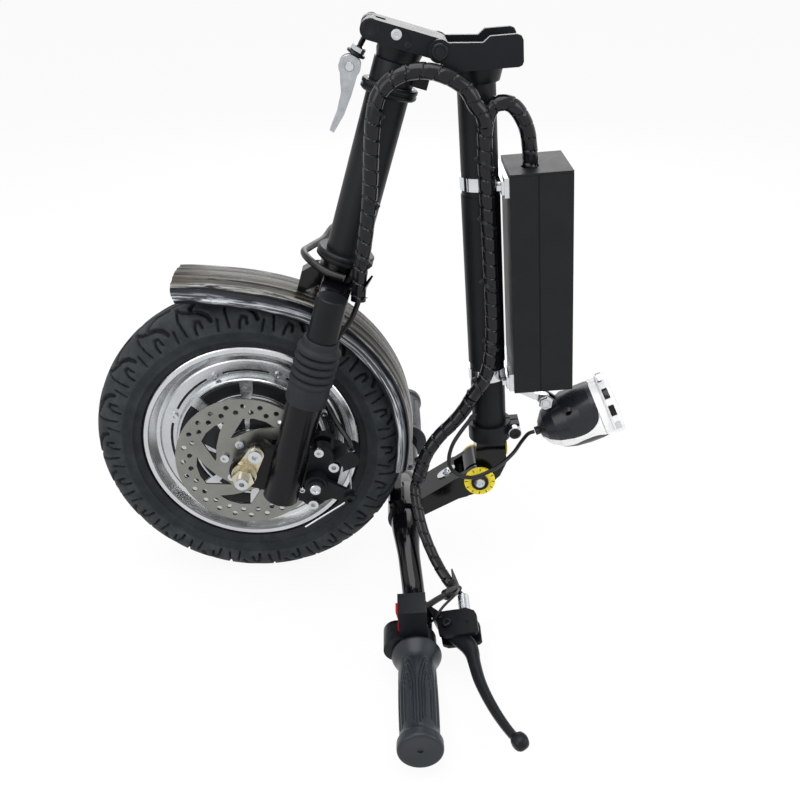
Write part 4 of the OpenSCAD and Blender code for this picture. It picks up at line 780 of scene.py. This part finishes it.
def make_lever():
    """Brake lever blade: an oval section that narrows from the pivot, bent twice, with a ball end."""
    # Place along the blade, then half its width and half its thickness
    stations = eased([(-30, -163, 7, 4), (-33, -170, 8, 4), (-41, -182, 8.4, 4.4), (-48.5, -194, 8.2, 4.6),
                      (-51.5, -205, 6.8, 4.6), (-52.4, -215, 5.8, 4.6), (-54.8, -236, 5.3, 4.6),
                      (-58.6, -254, 4.8, 4.4), (-64, -273, 4.4, 4.2), (-70, -290, 4, 4), (-76, -304, 3.7, 3.7),
                      (-78.6, -308.2, 3.9, 3.9), (-80, -310.5, 6.2, 6.2), (-82.6, -315, 6.8, 6.7),
                      (-84.6, -318.6, 5, 5), (-85.8, -320.8, 0.3, 0.3)], 4)

    def blade(u, v):
        i = round(v * (len(stations) - 1))
        x, y, wide, thick = stations[i]
        before, after = stations[max(i - 1, 0)], stations[min(i + 1, len(stations) - 1)]
        along = Vector((after[0] - before[0], after[1] - before[1], 0)).normalized()
        side = Vector((-along.y, along.x, 0))
        angle = math.tau * u
        c, s = math.cos(angle), math.sin(angle)
        flat = math.copysign(abs(s) ** 0.7, s) * thick
        spot = Vector((x, y, 0)) + side * (math.copysign(abs(c) ** 0.8, c) * wide)
        return (spot.x, spot.y, flat)

    lever = formed("lever_blade", 24, len(stations) - 1, blade, closed=True)
    bpy.ops.object.mode_set(mode="EDIT")
    bpy.ops.mesh.select_all(action="DESELECT")
    bpy.ops.mesh.select_non_manifold()
    bpy.ops.mesh.edge_face_add()
    face_outward()
    place(lever, LEVER, "satin_black", "lever", ["brake_lever"], angle=50)


def make_tie(name, matrix, body):
    """A nylon cable tie round the bundle: a flat band with rounded edges and its square head."""
    radius = BUNDLE + 0.1
    band = turned(name, [(radius, -1.8), (radius + 0.9, -1.8), (radius + 1.2, -1.4), (radius + 1.2, 1.4),
                         (radius + 0.9, 1.8), (radius, 1.8)], 48)
    pick()
    bpy.ops.mesh.primitive_cube_add(size=1, location=((radius + 2) * MM, 0, 0))
    head = bpy.context.object
    head.scale = (4.2 * MM, 5.4 * MM, 5.6 * MM)
    bpy.ops.object.transform_apply()
    edit_all()
    bpy.ops.mesh.bevel(offset=0.7 * MM, segments=2, affect="EDGES")
    bpy.ops.object.mode_set(mode="OBJECT")
    place(joined([band, head], name), matrix, "black_abs", body)


def make_ties():
    for name, where, body in (
            ("tie_fork_low", STEERING @ move(13.5, HEAD_Y, -64) @ turn(-6), "fork_upper"),
            ("tie_fork_mid", STEERING @ move(6, HEAD_Y, -10) @ turn(-9), "fork_upper"),
            ("tie_fork_top", STEERING @ move(-9, HEAD_Y, 66), "fork_upper"),
            *(("tie_stem_%d" % z, STEM @ move(-4, RUN_Y, z), "stem") for z in (96, 150, 210, 270)),
            ("tie_stem_end", STEM @ move(12, RUN_Y - 1, 314) @ turn(32), "stem"),
            ("tie_quill", STEM @ move(72, -38, 393) @ turn(22), "quill")):
        make_tie(name, where @ (turn(40) @ UPRIGHT), body)


def make_screw(name, matrix, r, h, finish, body):
    """A pan head screw with a socket, of this radius and height, standing on its place along -y."""
    head = turned(name, [(0.02, 0), (r, 0), (r, -0.45 * h), (0.93 * r, -0.78 * h), (0.74 * r, -h), (0.5 * r, -h),
                         (0.44 * r, -0.9 * h), (0.42 * r, -0.4 * h), (0.02, -0.4 * h)], 28)
    place(head, matrix, finish, body)


def make_fasteners():
    zinc, oxide = "zinc_steel", "black_oxide"
    # The channel of the stem closes over these, so they end flush with the base
    for name, x, z, r, finish in (("hinge_screw", -6.5, 124.1, 4.4, zinc), ("hinge_bolt", 5, 118.1, 3, oxide)):
        disc = turned(name, [(0.02, -22.14), (0.42 * r, -22.14), (0.46 * r, -22.36), (0.95 * r, -22.36), (r, -22.28),
                             (r, -21.8)], 28)
        place(disc, STEERING @ move(x, 0, z), finish, "fork_upper")
    make_screw("arm_screw", STEERING @ move(25, -89.6, -282), 5.6, 3, zinc, "brake_arm")
    make_screw("lug_bolt", STEERING @ move(14, -72.2, -297), 3.6, 3, zinc, "fork_lower")
    for side, facing in (("near", turn(0, "Z")), ("far", turn(180, "Z"))):
        cup = [(5.5, -24.2), (8.9, -24.2), (8.9, -27.8), (8.3, -28.5), (6.4, -28.5), (5.6, -28), (5.5, -26.6)]
        place(turned("pivot_cap_" + side, cup, 36), ANGLE_PIVOT @ facing, "black_abs", "quill")
        make_screw("pivot_screw_" + side, ANGLE_PIVOT @ facing @ move(0, -27.45, 0), 5.2, 1.8, zinc, "quill")
        knob = [(0.02, -27.6), (7, -27.6), (7, -30.4), (6.2, -31.2), (4.6, -31.2), (4.2, -30.4), (0.02, -30.4)]
        place(turned("fold_cap_" + side, knob, 32), FOLD_PIN @ facing, oxide, "fork_upper")
        disc = [(0.02, -22.15), (4.6, -22.15), (4.8, -22.36), (7.1, -22.36), (7.4, -22.28), (7.4, -21.6)]
        place(turned("latch_cap_" + side, disc, 32), LATCH_PIN @ facing, oxide, "fork_upper")

    def plate(u, v):
        angle = math.tau * u
        out = min(v * 1.25, 1.0)
        c, s = math.cos(angle), math.sin(angle)
        x = out * 11 * math.copysign(abs(c) ** 0.75, c)
        y = out * 6.5 * math.copysign(abs(s) ** 0.75, s)
        return (30 + x, y, -15.4 + max(0.0, v - 0.8) * 8 + x * 0.04)
    badge = formed("gooseneck_plate", 40, 20, plate, closed=True)
    place(badge, GOOSENECK, "chrome", "handlebar")
    make_screw("gooseneck_screw", GOOSENECK @ move(30, 0, -15.3) @ UPRIGHT, 4.2, 2, zinc, "handlebar")
    make_screw("perch_screw", LEVER @ move(-26, -157, -8.1) @ UPRIGHT, 3, 1.8, oxide, "handlebar")
    make_screw("pivot_nut", LEVER @ move(-32, -168.5, -9.9) @ UPRIGHT, 4.7, 1.4, oxide, "handlebar")
    make_screw("perch_dowel", LEVER @ move(-52, -170, -8.1) @ UPRIGHT, 1.6, 0.8, oxide, "handlebar")
    collar = STEM @ move(-24.5, 0, 375)
    barrel = turned("collar_bolt", [(5.7, -17.8), (6.6, -17.4), (6.6, -10.6), (6.2, -10.2), (5.6, -10.2)], 36)
    place(barrel, collar, zinc, "stem")
    make_screw("collar_screw", collar @ move(0, -17, 0), 6, 1.6, oxide, "stem")


def make_latch():
    """Swing bolt of the fold latch: a threaded rod from its eye, a bright nut and a black washer under the cam."""
    thread = [(0.02, 4), (2.3, 4)]
    for i in range(18):
        thread += [(2.6, 4.5 + i), (2.2, 5 + i)]
    thread += [(3.2, 22.6), (3.2, 37.4), (0.02, 37.4)]
    rod = turned("latch_thread", thread, 20)
    rod.data.transform(UPRIGHT)
    eye = turned("latch_eye", [(3.6, -4.8), (6.6, -4.8), (7, -4.2), (7, 4.2), (6.6, 4.8), (3.6, 4.8)], 32)
    pin = turned("latch_cross", [(0.02, -8.6), (3.6, -8.6), (4, -8.2), (4, 8.2), (3.6, 8.6), (0.02, 8.6)], 24)
    pin.data.transform(move(0, 0, 37.5))
    place(joined([rod, eye], "latch_swing_bolt"), LATCH, "black_oxide", "latch", ["latch_rod"])
    place(pin, LATCH, "zinc_steel", "latch")
    nut = turned("latch_nut", [(3.3, 19.6), (5.2, 19.6), (6.4, 20.6), (6.4, 24.2), (5.8, 25), (3.3, 25)], 6)
    place(nut, LATCH @ UPRIGHT, "zinc_steel", "latch", angle=20)
    washer = turned("latch_washer", [(3.3, 25.1), (8, 25.1), (8.4, 25.6), (8.4, 27), (7.8, 27.6), (3.3, 27.6)], 32)
    place(washer, LATCH @ UPRIGHT, "black_abs", "latch")


def make_lamp_shell():
    """White frame of the headlight round its black back, with a grey panel on its belly and windows in its rim."""
    profile = [(-22, 28), (-10, 29.5), (4, 29.5), (18, 28.2), (31, 24.5), (41, 18), (46, 11.2)]
    xs, rs = zip(*profile)

    def skin(x):
        return float(np.interp(x, xs, rs))

    def around(x, radius, degrees):
        angle = math.radians(degrees)
        return (x, -radius * math.sin(angle), -radius * math.cos(angle))

    def opening(x):
        """Half the angle that the frame leaves open over the lamp's back."""
        if x < -13.5:
            return max(0.0, 68 * (1 - (-13.5 - x) / 0.8))
        return 107 if x > 14 else 68 + 39 * math.sqrt(1 - ((14 - x) / 27.5) ** 2)

    def frame_shell(u, v):
        x = -21.9 + 67.9 * v ** 1.15
        low = opening(x)
        edge = min(u, 1 - u) * (360 - 2 * low) / 360 * math.tau * 28
        return around(x, skin(x) + 0.2 + 0.9 * min(1.0, edge / 1.6) ** 0.5, low + (360 - 2 * low) * u)

    def belly(u, v):
        x = 10 - 27 * math.cos(math.pi * v)
        half = 66 * math.sin(math.pi * v ** 0.75)
        dome = min(1.0, 4 * u * (1 - u) * 2.2, math.sin(math.pi * v) * 2.2)
        return around(x, skin(x) + 0.6 + 1.1 * dome ** 0.5, 180 + half * (2 * u - 1))

    frame_piece = formed("lamp_frame", 96, 80, frame_shell)
    thicken(frame_piece, 0.6, offset=1)
    place(frame_piece, LAMP, "white_abs", "lamp", angle=50)
    panel = formed("lamp_belly", 24, 30, belly, closed=True)
    place(panel, LAMP, "grey_abs", "lamp", angle=60)
    # A gloss black disc is set in each side hole of the lamp body as painted shade, so that the hole reads dark
    for side, turned_by in (("near", 45), ("far", 135)):
        hole = turned("lamp_hole_shade_" + side, [(0.02, -27.2), (3.2, -27.2), (3.5, -28.6), (4.4, -29), (4.8, -28.4)], 28)
        place(hole, LAMP @ move(14, 0, 0) @ turn(turned_by, "X"), "gloss_black", "lamp")
    joint = turned("lamp_joint", [(0.02, -8), (7, -8), (7.4, -8.5), (7.4, -11), (6.6, -12), (4, -12), (3.6, -11),
                                  (0.02, -11)], 6)
    place(joint, LAMP @ move(31, 0, -32), "zinc_steel", "lamp", angle=20)
    for name, finish, spots in (("lamp_windows", "gloss_black", (42, 75, 218, 251, 285, 318)),
                                ("lamp_reflectors", "chrome", (5, 110, 185, 355))):
        made = []
        for spot in spots:
            def window(u, v):
                radius = 31.55 + 0.2 * min(1, 6 * u * (1 - u) * 2, 6 * v * (1 - v) * 2)
                return around(-30 + 5.5 * v, radius, spot + 20 * (u - 0.5))
            made.append(formed("window", 10, 6, window))
            thicken(made[-1], 0.5)
        place(joined(made, name), LAMP, finish, "lamp")


def make_control_leads():
    """Short ends from the bundle at the handlebar: brake outer into its bright adjuster, and the switch lead."""
    for name, route, radius in (
            ("lever_outer", [(54, -103, 490), (48, -111, 494), (43.5, -119, 492), (41.6, -127, 490.2)], 2.5),
            ("switch_lead", [(52, -105, 490), (49, -114, 491), (54, -124, 486), (63, -138, 479), (72, -151, 474),
                             (79, -160, 472)], 3),
            ("horn_wire", [(50, -108, 492), (46, -120, 486), (50, -140, 476), (62, -158, 474), (72, -166, 482),
                           (79, -164, 488)], 1.3)):
        path = eased(route, 8)
        sleeve = [5.4 if name == "switch_lead" and i < 0.5 * len(path) else radius for i in range(len(path))]
        place(strand(name, path, sleeve), STEM, "cable_jacket", "handlebar")
    ridges = [(2.7, -126)]
    for i in range(11):
        ridges += [(radius, y - i * 1.9) for radius, y in ((5.5, -127.2), (5.5, -128.3), (5.1, -128.6))]
    barrel = turned("barrel_adjuster", ridges + [(4.6, -150), (2.7, -150)], 30)
    place(barrel, LEVER @ move(-49, 0, 0), "zinc_steel", "handlebar")


def soften(names, width_mm):
    """A small rounded edge on a machined or cast solid, so that it catches light as the real one does."""
    for name in names:
        weld = nodes[name].modifiers.new("weld", "WELD")
        weld.merge_threshold = 1e-6
        edge = nodes[name].modifiers.new("edge", "BEVEL")
        edge.width = width_mm * MM
        edge.segments = 3
        edge.limit_method = "ANGLE"
        edge.angle_limit = math.radians(40)


def dress_solids():
    for finish, names in {
            "powder_coat": ["head_tube", "stem_tube"],
            "satin_black": ["stanchions", "steerer_clamp", "hinge_base", "brake_caliper", "caliper_arm",
                            "headset_cups", "stem_hinge_half", "stem_collar", "brake_perch"],
            "fork_coat": ["fork_sliders"],
            "gloss_black": ["fork_crown", "quill", "gooseneck", "bar_clamp_cap"],
            "black_anodise": ["controller_box"],
            "ground_steel": ["headset_bearings", "steerer_tube", "fork_springs", "hub_bearings"],
            "slate_abs": ["lamp_body"],
            "zinc_steel": ["axle", "fork_bolts", "wheel_bolts"],
            "black_oxide": ["hinge_pins"],
            "yellow_zinc": ["axle_hardware"],
            "chrome": ["stem_straps", "controller_brackets"],
            "blasted_alloy": ["cam_lever"],
            "polished_rim": ["rim"],
            "polished_cover": ["motor_covers"],
            "rotor_steel": ["brake_rotor"],
            "boot_rubber": ["valve_stem"],
            "black_abs": ["throttle_housing"],
            "white_abs": ["lamp_bezel"],
            "red_abs": ["switch_rocker"],
            "dial": ["angle_pivot"],
            "lens": ["lamp_lens"],
            "board": ["controller_board"],
            "copper": ["stator"],
            "magnet": ["magnet_ring"],
            "pad": ["moving_pad"]}.items():
        for name in names:
            nodes[name].data.materials.clear()
            nodes[name].data.materials.append(finishes[finish])


studio()
finishes = make_finishes()
dress_solids()
make_tyre()
make_cover_panels()
make_fender()
make_boots()
make_wires()
make_handlebar()
make_grip("twist_grip", -1, "throttle", "throttle_grip")
make_grip("fixed_grip", 1, "handlebar", "plain_grip")
make_lever()
make_ties()
make_fasteners()
make_latch()
make_lamp_shell()
make_control_leads()
soften(["stem_hinge_half", "hinge_base"], 2.0)
soften(["throttle_housing", "brake_perch", "stem_collar", "steerer_clamp", "gooseneck", "controller_box",
        "cam_lever"], 0.8)
